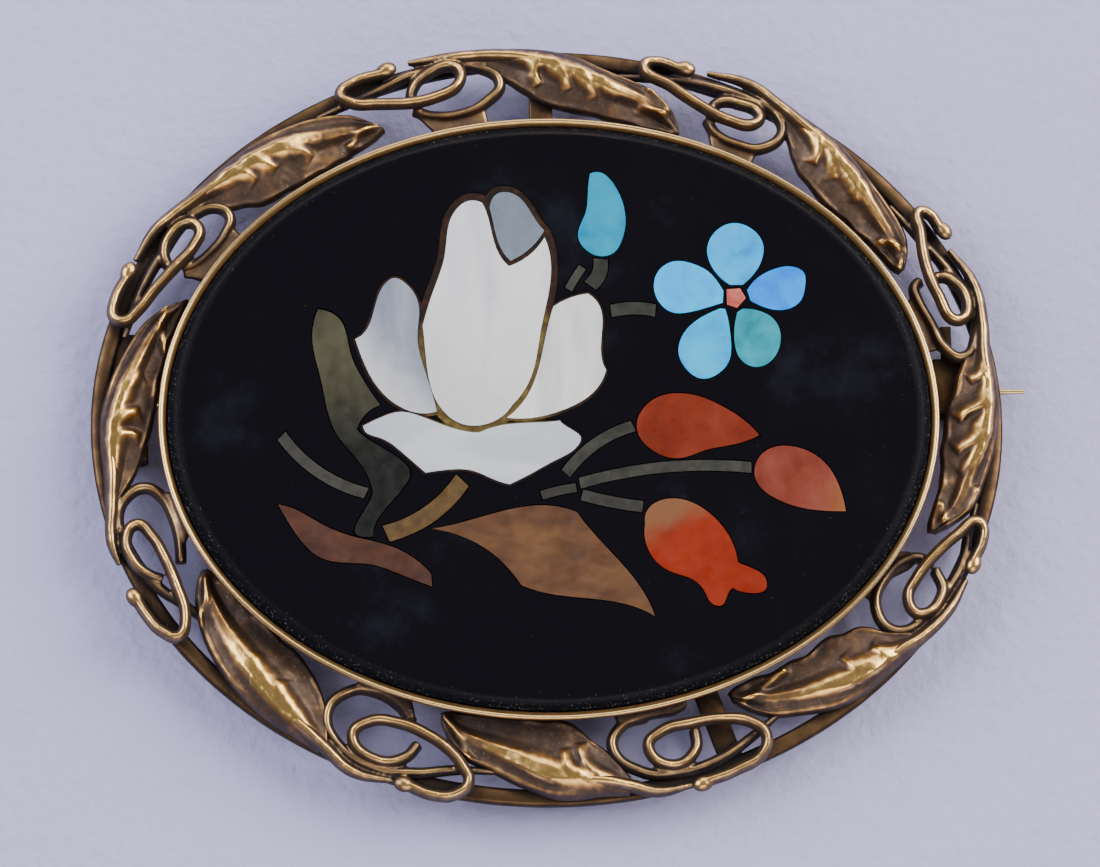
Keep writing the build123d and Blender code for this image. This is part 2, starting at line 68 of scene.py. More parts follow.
def linear(hex_colour):
    """An sRGB hex colour as linear light."""
    parts = [int(hex_colour[i:i + 2], 16) / 255 for i in (1, 3, 5)]
    return tuple(c / 12.92 if c <= 0.04045 else ((c + 0.055) / 1.055) ** 2.4 for c in parts) + (1.0,)


def add(tree, kind, inputs=None, stops=(), **settings):
    """Adds a node. An input is a number, a hex colour or another node's output; stops are a ramp's."""
    node = tree.nodes.new(kind)
    for name, value in settings.items():
        setattr(node, name, value)
    for socket, given in (inputs or {}).items():
        if isinstance(given, bpy.types.NodeSocket):
            tree.links.new(given, node.inputs[socket])
        else:
            node.inputs[socket].default_value = linear(given) if isinstance(given, str) else given
    while stops and len(node.color_ramp.elements) < len(stops):
        node.color_ramp.elements.new(0.5)
    for element, (place, colour) in zip(node.color_ramp.elements if stops else (), stops):
        element.position = place
        element.color = linear(colour)
    return node


def new_material(name):
    """An empty material: its tree, its shader, and the object coordinates that its patterns read."""
    material = bpy.data.materials.new(name)
    material.use_nodes = True
    tree = material.node_tree
    tree.nodes.clear()
    shader = add(tree, "ShaderNodeBsdfPrincipled")
    add(tree, "ShaderNodeOutputMaterial", {"Surface": shader.outputs["BSDF"]})
    place = add(tree, "ShaderNodeTexCoord").outputs["Object"]
    return material, tree, shader, place


def worn_gold_with_painted_light(name, tarnish, polish_from=0.0, raised_share=0.0, soft=0.0, proud=0.0, grain_depth=0.6):
    """Old low-carat gold: rubbed bright and painted lighter where it faces up, brown with tarnish and painted
    shade in its hollows.

    tarnish is its colours from the deepest hollow to the best rubbed edge, and polish_from moves the
    whole surface along them. raised_share is how far a piece's own raised places decide where it is
    rubbed and painted bright, soft makes it duller, and proud is how much brighter it is painted at
    the height of the upper wires than at the height of the lower ones: painted shade on the lower wires."""
    material, tree, shader, place = new_material(name)
    # Painted light and shade as well as wear: the colour is lighter where the surface faces up and darker on
    # its sides
    normal = add(tree, "ShaderNodeNewGeometry").outputs["Normal"]
    up = add(tree, "ShaderNodeSeparateXYZ", {0: normal}).outputs["Z"]
    facing = add(tree, "ShaderNodeMapRange", {"Value": up, "From Min": 0.2, "From Max": 1.0,
                                              "To Min": 0.18, "To Max": 1.0}).outputs[0]
    # How open a place is to a rubbing finger or cloth and to the room's light: a hollow narrower than this
    # stays dark, with tarnish and with painted shade
    open_sky = add(tree, "ShaderNodeAmbientOcclusion", {"Distance": 1.3 * MM}, samples=8).outputs["AO"]
    exposed = add(tree, "ShaderNodeMapRange", {"Value": open_sky, "From Min": 0.35, "From Max": 0.95},
                  interpolation_type="SMOOTHSTEP").outputs[0]
    rubbed = add(tree, "ShaderNodeMath", {0: facing, 1: exposed}, operation="MULTIPLY").outputs[0]
    raised = add(tree, "ShaderNodeAttribute", attribute_name="raised").outputs["Fac"]
    polish_and_light = add(tree, "ShaderNodeMix", {0: raised_share, 2: rubbed, 3: raised}).outputs[0]
    # Patches that are rubbed less, about a millimetre across
    patches = add(tree, "ShaderNodeTexNoise", {"Vector": place, "Scale": 1 / (1.1 * MM), "Detail": 4.0,
                                               "Roughness": 0.6}).outputs[0]
    patchy = add(tree, "ShaderNodeMapRange", {
        "Value": patches, "From Min": 0.3, "From Max": 0.7,
        "To Min": polish_from - 0.2, "To Max": polish_from + 0.2}).outputs[0]
    polish_and_light = add(tree, "ShaderNodeMath", {0: polish_and_light, 1: patchy}, operation="ADD").outputs[0]
    # Painted shade: the lower wires and the webs are coloured darker than the upper wires
    height = add(tree, "ShaderNodeSeparateXYZ", {0: place}).outputs["Z"]
    lift = add(tree, "ShaderNodeMapRange", {
        "Value": height, "From Min": LOW_WIRES * MM, "From Max": HIGH_WIRES * MM,
        "To Min": -proud, "To Max": 0.0}).outputs[0]
    polish_and_light = add(tree, "ShaderNodeMath", {0: polish_and_light, 1: lift}, operation="ADD").outputs[0]
    stops = tuple(zip((0.0, 0.3, 0.6, 0.95), tarnish))
    colour = add(tree, "ShaderNodeValToRGB", {0: polish_and_light}, stops).outputs[0]
    # Specks of pale dirt, a tenth of a millimetre, held in the dull places
    dirt = add(tree, "ShaderNodeTexNoise", {"Vector": place, "Scale": 1 / (0.12 * MM),
                                            "Detail": 1.0}).outputs[0]
    held = add(tree, "ShaderNodeMapRange", {"Value": polish_and_light, "From Min": 0.25, "From Max": 0.6,
                                            "To Min": 0.71, "To Max": 0.80}).outputs[0]
    speck = add(tree, "ShaderNodeMath", {0: dirt, 1: held}, operation="GREATER_THAN").outputs[0]
    dusty = add(tree, "ShaderNodeMath", {0: speck, 1: 0.5}, operation="MULTIPLY").outputs[0]
    colour = add(tree, "ShaderNodeMix", {0: dusty, 6: colour, 7: "#a09080"}, data_type="RGBA").outputs[2]
    tree.links.new(colour, shader.inputs["Base Color"])
    # Tarnish is only half metallic to the eye, and duller than the metal under it
    metal = add(tree, "ShaderNodeMapRange", {"Value": polish_and_light, "From Min": 0.0, "From Max": 0.5,
                                             "To Min": 0.55, "To Max": 1.0}).outputs[0]
    tree.links.new(metal, shader.inputs["Metallic"])
    dull = add(tree, "ShaderNodeMapRange", {"Value": polish_and_light, "From Min": 0.05, "From Max": 0.9,
                                            "To Min": 0.55 + soft, "To Max": 0.26 + soft}).outputs[0]
    tree.links.new(dull, shader.inputs["Roughness"])
    # Handling marks and casting grain, a sixth of a millimetre
    grain = add(tree, "ShaderNodeTexNoise", {"Vector": place, "Scale": 1 / (0.16 * MM), "Detail": 3.0,
                                             "Roughness": 0.6}).outputs[0]
    relief = add(tree, "ShaderNodeBump", {"Height": grain, "Distance": 0.02 * MM, "Strength": grain_depth})
    tree.links.new(relief.outputs[0], shader.inputs["Normal"])
    return material


def polished_stone(name, stops, lump_mm=1.5, stretch=(1.0, 1.0, 1.0), turn=0.0, rough=0.28,
                   blend=None, cracks=0.0, gloss=0.5):
    """A cut and polished stone: soft markings under a gloss that is a little rippled and worn.

    stops are its colours from the darkest marking to the palest. The markings are lump_mm across,
    and longer along the direction that turn and a small stretch give. blend is (from point, to point,
    hex colour, low, high): the stone's other colour along that line. cracks is how far apart in
    millimetres the fine dark cracks across it lie, and gloss is how strongly it shines."""
    material, tree, shader, place = new_material(name)
    turned = add(tree, "ShaderNodeMapping", {"Vector": place, "Rotation": (0, 0, math.radians(turn)),
                                             "Scale": stretch}).outputs[0]
    marks = add(tree, "ShaderNodeTexNoise", {"Vector": turned, "Scale": 1 / (lump_mm * MM), "Detail": 4.0,
                                             "Roughness": 0.55, "Distortion": 0.4}).outputs[0]
    colour = add(tree, "ShaderNodeValToRGB", {0: marks}, stops).outputs[0]
    if blend:
        colour = blended_along(tree, place, colour, *blend)
    if cracks:
        cells = add(tree, "ShaderNodeTexVoronoi", {"Vector": place, "Scale": 1 / (cracks * MM)},
                    feature="DISTANCE_TO_EDGE").outputs[0]
        line = add(tree, "ShaderNodeMapRange", {"Value": cells, "From Min": 0.02, "From Max": 0.07,
                                                "To Min": 0.6, "To Max": 0.0}).outputs[0]
        colour = add(tree, "ShaderNodeMix", {0: line, 6: colour, 7: "#1c1a18"}, data_type="RGBA").outputs[2]
    tree.links.new(colour, shader.inputs["Base Color"])
    shader.inputs["IOR"].default_value = 1.55
    shader.inputs["Specular IOR Level"].default_value = gloss
    wear = add(tree, "ShaderNodeTexNoise", {"Vector": place, "Scale": 1 / (0.7 * MM), "Detail": 4.0,
                                            "Roughness": 0.65}).outputs[0]
    dull = add(tree, "ShaderNodeMapRange", {"Value": wear, "From Min": 0.3, "From Max": 0.75,
                                            "To Min": rough - 0.08, "To Max": rough + 0.1}).outputs[0]
    tree.links.new(dull, shader.inputs["Roughness"])
    ripple = add(tree, "ShaderNodeTexNoise", {"Vector": place, "Scale": 1 / (0.5 * MM),
                                              "Detail": 3.0}).outputs[0]
    relief = add(tree, "ShaderNodeBump", {"Height": ripple, "Distance": 0.01 * MM, "Strength": 0.35})
    tree.links.new(relief.outputs[0], shader.inputs["Normal"])
    return material


def blended_along(tree, place, colour, start, end, other, low, high):
    """Another colour that comes in along a line across the stone."""
    run = Vector(end) - Vector(start)
    offset = add(tree, "ShaderNodeVectorMath", {0: place, 1: (start[0] * MM, start[1] * MM, 0)},
                 operation="SUBTRACT").outputs[0]
    along = add(tree, "ShaderNodeVectorMath", {0: offset, 1: (run.x, run.y, 0)},
                operation="DOT_PRODUCT").outputs["Value"]
    share = add(tree, "ShaderNodeMath", {0: along, 1: run.length_squared * MM}, operation="DIVIDE").outputs[0]
    ragged = add(tree, "ShaderNodeTexNoise", {"Vector": place, "Scale": 1 / (1.2 * MM),
                                              "Detail": 3.0}).outputs[0]
    wobble = add(tree, "ShaderNodeMapRange", {"Value": ragged, "From Min": 0.3, "From Max": 0.7,
                                              "To Min": -0.12, "To Max": 0.12}).outputs[0]
    share = add(tree, "ShaderNodeMath", {0: share, 1: wobble}, operation="ADD").outputs[0]
    factor = add(tree, "ShaderNodeMapRange", {"Value": share, "From Min": low, "From Max": high},
                 interpolation_type="SMOOTHSTEP").outputs[0]
    return add(tree, "ShaderNodeMix", {0: factor, 6: colour, 7: other}, data_type="RGBA").outputs[2]


def black_marble():
    """Black Belgian marble, lapped and polished: nearly black, with smudges, fine scratches and dust."""
    material, tree, shader, place = new_material("black_marble")
    cloud = add(tree, "ShaderNodeTexNoise", {"Vector": place, "Scale": 1 / (7.0 * MM), "Detail": 5.0,
                                             "Roughness": 0.62}).outputs[0]
    smudge = add(tree, "ShaderNodeMapRange", {"Value": cloud, "From Min": 0.60, "From Max": 0.76,
                                              "To Min": 0.0, "To Max": 0.6}).outputs[0]
    colour = add(tree, "ShaderNodeMix", {0: smudge, 6: "#0a080e", 7: "#1c1f2c"}, data_type="RGBA").outputs[2]
    # 0 at the middle of the plaque and 1 at the rim's inner edge, where the dust lies
    offset = add(tree, "ShaderNodeVectorMath", {0: place, 1: (PLAQUE_X * MM, 0, 0)},
                 operation="SUBTRACT").outputs[0]
    oval = (1 / (RIM_INNER_LONG * MM), 1 / (RIM_INNER_SHORT * MM), 0)
    scaled = add(tree, "ShaderNodeVectorMath", {0: offset, 1: oval}, operation="MULTIPLY").outputs[0]
    outward = add(tree, "ShaderNodeVectorMath", {0: scaled}, operation="LENGTH").outputs["Value"]
    # The bevel beside the rim is ground but not polished
    ground = add(tree, "ShaderNodeMapRange", {"Value": outward, "From Min": 0.955,
                                              "From Max": 0.985}).outputs[0]
    colour = add(tree, "ShaderNodeMix", {0: ground, 6: colour, 7: "#0a0e15"}, data_type="RGBA").outputs[2]
    # Dust grains of a tenth of a millimetre, as large as they need to be to show
    dots = add(tree, "ShaderNodeTexNoise", {"Vector": place, "Scale": 1 / (0.11 * MM),
                                            "Detail": 2.0}).outputs[0]
    held = add(tree, "ShaderNodeMapRange", {"Value": outward, "From Min": 0.94, "From Max": 1.0,
                                            "To Min": 0.78, "To Max": 0.61}).outputs[0]
    speck = add(tree, "ShaderNodeMath", {0: dots, 1: held}, operation="GREATER_THAN").outputs[0]
    dusty = add(tree, "ShaderNodeMath", {0: speck, 1: 0.4}, operation="MULTIPLY").outputs[0]
    colour = add(tree, "ShaderNodeMix", {0: dusty, 6: colour, 7: "#7f7c78"}, data_type="RGBA").outputs[2]
    tree.links.new(colour, shader.inputs["Base Color"])
    shader.inputs["IOR"].default_value = 1.5
    shine = add(tree, "ShaderNodeMapRange", {"Value": ground, "To Min": 0.35, "To Max": 0.05}).outputs[0]
    tree.links.new(shine, shader.inputs["Specular IOR Level"])
    dull = add(tree, "ShaderNodeMapRange", {"Value": cloud, "From Min": 0.35, "From Max": 0.7,
                                            "To Min": 0.10, "To Max": 0.20}).outputs[0]
    rough = add(tree, "ShaderNodeMath", {0: ground, 1: 0.5, 2: dull}, operation="MULTIPLY_ADD").outputs[0]
    tree.links.new(rough, shader.inputs["Roughness"])
    # Scratches, drawn out thirty times one way and wide enough to show
    drawn = add(tree, "ShaderNodeMapping", {"Vector": place, "Rotation": (0, 0, 0.7),
                                            "Scale": (1.0, 0.03, 1.0)}).outputs[0]
    scratch = add(tree, "ShaderNodeTexNoise", {"Vector": drawn, "Scale": 1 / (0.18 * MM),
                                               "Detail": 2.0}).outputs[0]
    relief = add(tree, "ShaderNodeBump", {"Height": scratch, "Distance": 0.004 * MM, "Strength": 0.25})
    tree.links.new(relief.outputs[0], shader.inputs["Normal"])
    return material


# The wax is olive between the flower's white stones, within this reach of its middle, and brown-red
# outside them
FLOWER_MIDDLE = (-4.0, 2.6)
FLOWER_REACH = 4.6
WAX_CHANGE = 0.6


def setting_wax():
    """Shellac and brick-dust mastic: dull and crumbly, brown-red outside, olive between the white stones."""
    material, tree, shader, place = new_material("setting_wax")
    lumps = add(tree, "ShaderNodeTexNoise", {"Vector": place, "Scale": 1 / (0.45 * MM), "Detail": 4.0,
                                             "Roughness": 0.62}).outputs[0]
    outside = add(tree, "ShaderNodeValToRGB", {0: lumps}, (
        (0.3, "#0e0705"), (0.5, "#20100a"), (0.66, "#3a2010"), (0.8, "#57381b"))).outputs[0]
    inside = add(tree, "ShaderNodeValToRGB", {0: lumps}, (
        (0.3, "#322a14"), (0.55, "#5b4c25"), (0.8, "#7f6f3c"))).outputs[0]
    middle = tuple(c * MM for c in FLOWER_MIDDLE) + (TABLE * MM,)
    away = add(tree, "ShaderNodeVectorMath", {0: place, 1: middle}, operation="DISTANCE").outputs["Value"]
    edge = add(tree, "ShaderNodeMapRange", {"Value": away, "From Min": (FLOWER_REACH - WAX_CHANGE) * MM,
                                            "From Max": FLOWER_REACH * MM}).outputs[0]
    colour = add(tree, "ShaderNodeMix", {0: edge, 6: inside, 7: outside}, data_type="RGBA").outputs[2]
    tree.links.new(colour, shader.inputs["Base Color"])
    shader.inputs["Roughness"].default_value = 0.62
    shader.inputs["Specular IOR Level"].default_value = 0.2
    relief = add(tree, "ShaderNodeBump", {"Height": lumps, "Distance": 0.03 * MM, "Strength": 0.5})
    tree.links.new(relief.outputs[0], shader.inputs["Normal"])
    return material


def felt_marked_card():
    """Pale lilac-grey card: matt, with the soft tooth and shallow hollows that felt leaves."""
    material, tree, shader, place = new_material("felt_marked_card")
    shade = add(tree, "ShaderNodeTexNoise", {"Vector": place, "Scale": 1 / (60 * MM),
                                             "Detail": 2.0}).outputs[0]
    colour = add(tree, "ShaderNodeValToRGB", {0: shade}, ((0.3, "#b9b8e5"), (0.7, "#c3c2ef"))).outputs[0]
    tree.links.new(colour, shader.inputs["Base Color"])
    shader.inputs["Roughness"].default_value = 0.9
    shader.inputs["Specular IOR Level"].default_value = 0.2
    tooth = add(tree, "ShaderNodeTexNoise", {"Vector": place, "Scale": 1 / (0.8 * MM),
                                             "Detail": 3.0}).outputs[0]
    hollows = add(tree, "ShaderNodeTexNoise", {"Vector": place, "Scale": 1 / (5.0 * MM),
                                               "Detail": 2.0}).outputs[0]
    height = add(tree, "ShaderNodeMath", {0: hollows, 1: tooth}, operation="ADD").outputs[0]
    relief = add(tree, "ShaderNodeBump", {"Height": height, "Distance": 0.2 * MM, "Strength": 0.9})
    tree.links.new(relief.outputs[0], shader.inputs["Normal"])
    return material


# The wires are brown with bright crowns, rubbed and painted lit, the leaves catch the light on every ridge
# as a painted highlight as well as rubbing, the rim is rubbed clean all round, what lies behind is dark and
# dull with tarnish and painted shade, and the pin is drawn wire, hardly tarnished.
GOLD = worn_gold_with_painted_light("worn_gold_with_painted_light", ("#3a2f2b", "#655445", "#a08261", "#ffd07e"), -0.08,
                 proud=0.28, grain_depth=0.25)
# Painted highlight as well as rubbing: the leaves' raised places are coloured bright
CHASED_GOLD = worn_gold_with_painted_light("chased_gold", ("#3a2f2b", "#624f41", "#a98254", "#ffd27a"), -0.04,
                        raised_share=0.72, grain_depth=0.18)
RIM_GOLD = worn_gold_with_painted_light("rubbed_rim_gold", ("#6a4b2b", "#a67e4c", "#dcb474", "#ffdc98"), 0.12,
                     grain_depth=0.05)
# Painted shade: the base ring, back plate, struts, hinge and catch lie under the frame, so their colour is
# darkened as well as tarnished
SHADED_DULL_GOLD = worn_gold_with_painted_light("tarnished_gold_painted_shade", ("#241c18", "#3a2d24", "#54412f", "#7a6044"), -0.16, soft=0.10)
PIN_GOLD = worn_gold_with_painted_light("drawn_pin_gold", ("#4b3a22", "#7d6038", "#b08d55", "#e6cf97"), 0.25)


def at(angle, share, height):
    """A point of the border, in millimetres."""
    turn = math.radians(angle)
    half_long = RIM_LONG + share * BORDER_ENDS
    half_short = RIM_SHORT + share * BORDER_SIDES
    return Vector((PLAQUE_X + half_long * math.sin(turn), half_short * math.cos(turn), height))


def new_tree(name, inputs):
    """A Geometry Nodes tree with named inputs; gives the tree, its input and output, and identifiers."""
    tree = bpy.data.node_groups.new(name, "GeometryNodeTree")
    tree.interface.new_socket("Geometry", in_out="INPUT", socket_type="NodeSocketGeometry")
    identifiers = {}
    for label, kind in inputs:
        identifiers[label] = tree.interface.new_socket(label, in_out="INPUT", socket_type=kind).identifier
    tree.interface.new_socket("Geometry", in_out="OUTPUT", socket_type="NodeSocketGeometry")
    return tree, add(tree, "NodeGroupInput"), add(tree, "NodeGroupOutput"), identifiers


def sweep_tree():
    """Carries a profile along every route, its thickness following the route's own radius."""
    tree, given, result, identifiers = new_tree("profile_along_routes", (
        ("Profile", "NodeSocketObject"), ("Spacing", "NodeSocketFloat"),
        ("Unevenness", "NodeSocketFloat"), ("Material", "NodeSocketMaterial")))
    points = add(tree, "GeometryNodeResampleCurve", {
        "Curve": given.outputs[0], "Length": given.outputs["Spacing"]}, mode="LENGTH")
    upright = add(tree, "GeometryNodeSetCurveNormal", {"Curve": points.outputs[0]}, mode="Z_UP")
    profile = add(tree, "GeometryNodeObjectInfo", {"Object": given.outputs["Profile"]})
    radius = add(tree, "GeometryNodeInputRadius")
    swept = add(tree, "GeometryNodeCurveToMesh", {
        "Curve": upright.outputs[0], "Profile Curve": profile.outputs["Geometry"],
        "Scale": radius.outputs[0], "Fill Caps": True})
    # Hand work: the strip wanders a little, in waves about a millimetre long
    waves = add(tree, "ShaderNodeTexNoise", {"Scale": 0.9, "Detail": 2.0})
    centred = add(tree, "ShaderNodeVectorMath", {0: waves.outputs["Color"], 1: (0.5, 0.5, 0.5)},
                  operation="SUBTRACT")
    moved = add(tree, "ShaderNodeVectorMath", {0: centred.outputs[0], "Scale": given.outputs["Unevenness"]},
                operation="SCALE")
    shifted = add(tree, "GeometryNodeSetPosition", {"Geometry": swept.outputs[0], "Offset": moved.outputs[0]})
    real = add(tree, "GeometryNodeRealizeInstances", {"Geometry": shifted.outputs[0]})
    dressed = add(tree, "GeometryNodeSetMaterial", {"Geometry": real.outputs[0],
                                                    "Material": given.outputs["Material"]})
    tree.links.new(dressed.outputs[0], result.inputs[0])
    return tree, identifiers


SWEEP, SWEEP_INPUTS = sweep_tree()


def curve_of(name, routes, closed=False, smooth=True):
    """A curve object with one spline for each route; a route's points are (place, radius)."""
    data = bpy.data.curves.new(name, "CURVE")
    data.dimensions = "3D"
    data.resolution_u = 16
    for route in routes:
        spline = data.splines.new("BEZIER" if smooth else "POLY")
        points = spline.bezier_points if smooth else spline.points
        points.add(len(route) - 1)
        for point, (place, radius) in zip(points, route):
            point.co = place if smooth else (*place, 1.0)
            point.radius = radius
            if smooth:
                point.handle_left_type = "AUTO"
                point.handle_right_type = "AUTO"
        spline.use_cyclic_u = closed
    obj = bpy.data.objects.new(name, data)
    bpy.context.scene.collection.objects.link(obj)
    return obj


def swept_mesh(name, routes, profile, spacing, unevenness, material, closed=False):
    """The plain mesh that the sweep tree makes of these routes."""
    host = curve_of(name + "_routes", routes, closed)
    modifier = host.modifiers.new("sweep", "NODES")
    modifier.node_group = SWEEP
    given = {"Profile": profile, "Spacing": spacing, "Unevenness": unevenness, "Material": material}
    for label, value in given.items():
        modifier[SWEEP_INPUTS[label]] = value
    mesh = evaluated_mesh(host)
    bpy.data.objects.remove(host)
    return mesh


def evaluated_mesh(obj):
    """A new mesh of an object with its modifiers worked in."""
    graph = bpy.context.evaluated_depsgraph_get()
    graph.update()
    return bpy.data.meshes.new_from_object(obj.evaluated_get(graph), depsgraph=graph)


def profile_of(name, points):
    """A closed cross-section, drawn as (outward, up) from its route; a sweep carries it upside down."""
    corners = [(Vector((x, -y, 0)), 1.0) for x, y in reversed(points)]
    return curve_of(name, [corners], closed=True, smooth=False)


def joined(name, meshes):
    """One mesh object of several meshes, still in millimetres."""
    whole = bpy.data.meshes.new(name)
    vertices, faces = [], []
    for mesh in meshes:
        base = len(vertices)
        vertices += [v.co.copy() for v in mesh.vertices]
        faces += [[base + i for i in p.vertices] for p in mesh.polygons]
    whole.from_pydata(vertices, [], faces)
    obj = bpy.data.objects.new(name, whole)
    bpy.context.scene.collection.objects.link(obj)
    return obj


def finished(obj, material):
    """Turns a piece of the gold mount to metres, dresses it and hands it to the frame."""
    obj.data.transform(Matrix.Scale(MM, 4))
    obj.data.materials.clear()
    obj.data.materials.append(material)
    obj.data.shade_smooth()
    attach(obj, "root")
    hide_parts("gold_mount")


def melt(obj, voxel, smoothing):
    """Makes one softened skin of a piece whose parts have run together."""
    remesh = obj.modifiers.new("skin", "REMESH")
    remesh.mode = "VOXEL"
    remesh.voxel_size = voxel
    soften = obj.modifiers.new("soften", "SMOOTH")
    soften.factor = 0.5
    soften.iterations = smoothing
    mesh = evaluated_mesh(obj)
    obj.modifiers.clear()
    obj.data = mesh


# Edges of a plate that turn by more than this, in radians, are softened
SHARP_TURN = 0.5


def outlined_plate(name, outline, bottom, top, edge, turned=None):
    """A plate of any flat outline with softened edges, still in millimetres."""
    work = bmesh.new()
    lower = [work.verts.new((x, y, bottom)) for x, y in outline]
    face = work.faces.new(lower)
    raised = bmesh.ops.extrude_face_region(work, geom=[face])["geom"]
    risen = [item for item in raised if isinstance(item, bmesh.types.BMVert)]
    bmesh.ops.translate(work, verts=risen, vec=(0, 0, top - bottom))
    bmesh.ops.recalc_face_normals(work, faces=work.faces)
    sharp = [e for e in work.edges if len(e.link_faces) == 2 and e.calc_face_angle() > SHARP_TURN]
    bmesh.ops.bevel(work, geom=sharp, offset=edge, segments=3, profile=0.5, affect="EDGES")
    if turned:
        bmesh.ops.transform(work, matrix=turned, verts=work.verts)
    mesh = bpy.data.meshes.new(name)
    work.to_mesh(mesh)
    work.free()
    return mesh


def box_outline(x0, y0, x1, y1):
    """Corners of a rectangle, anticlockwise."""
    return [(x0, y0), (x1, y0), (x1, y1), (x0, y1)]


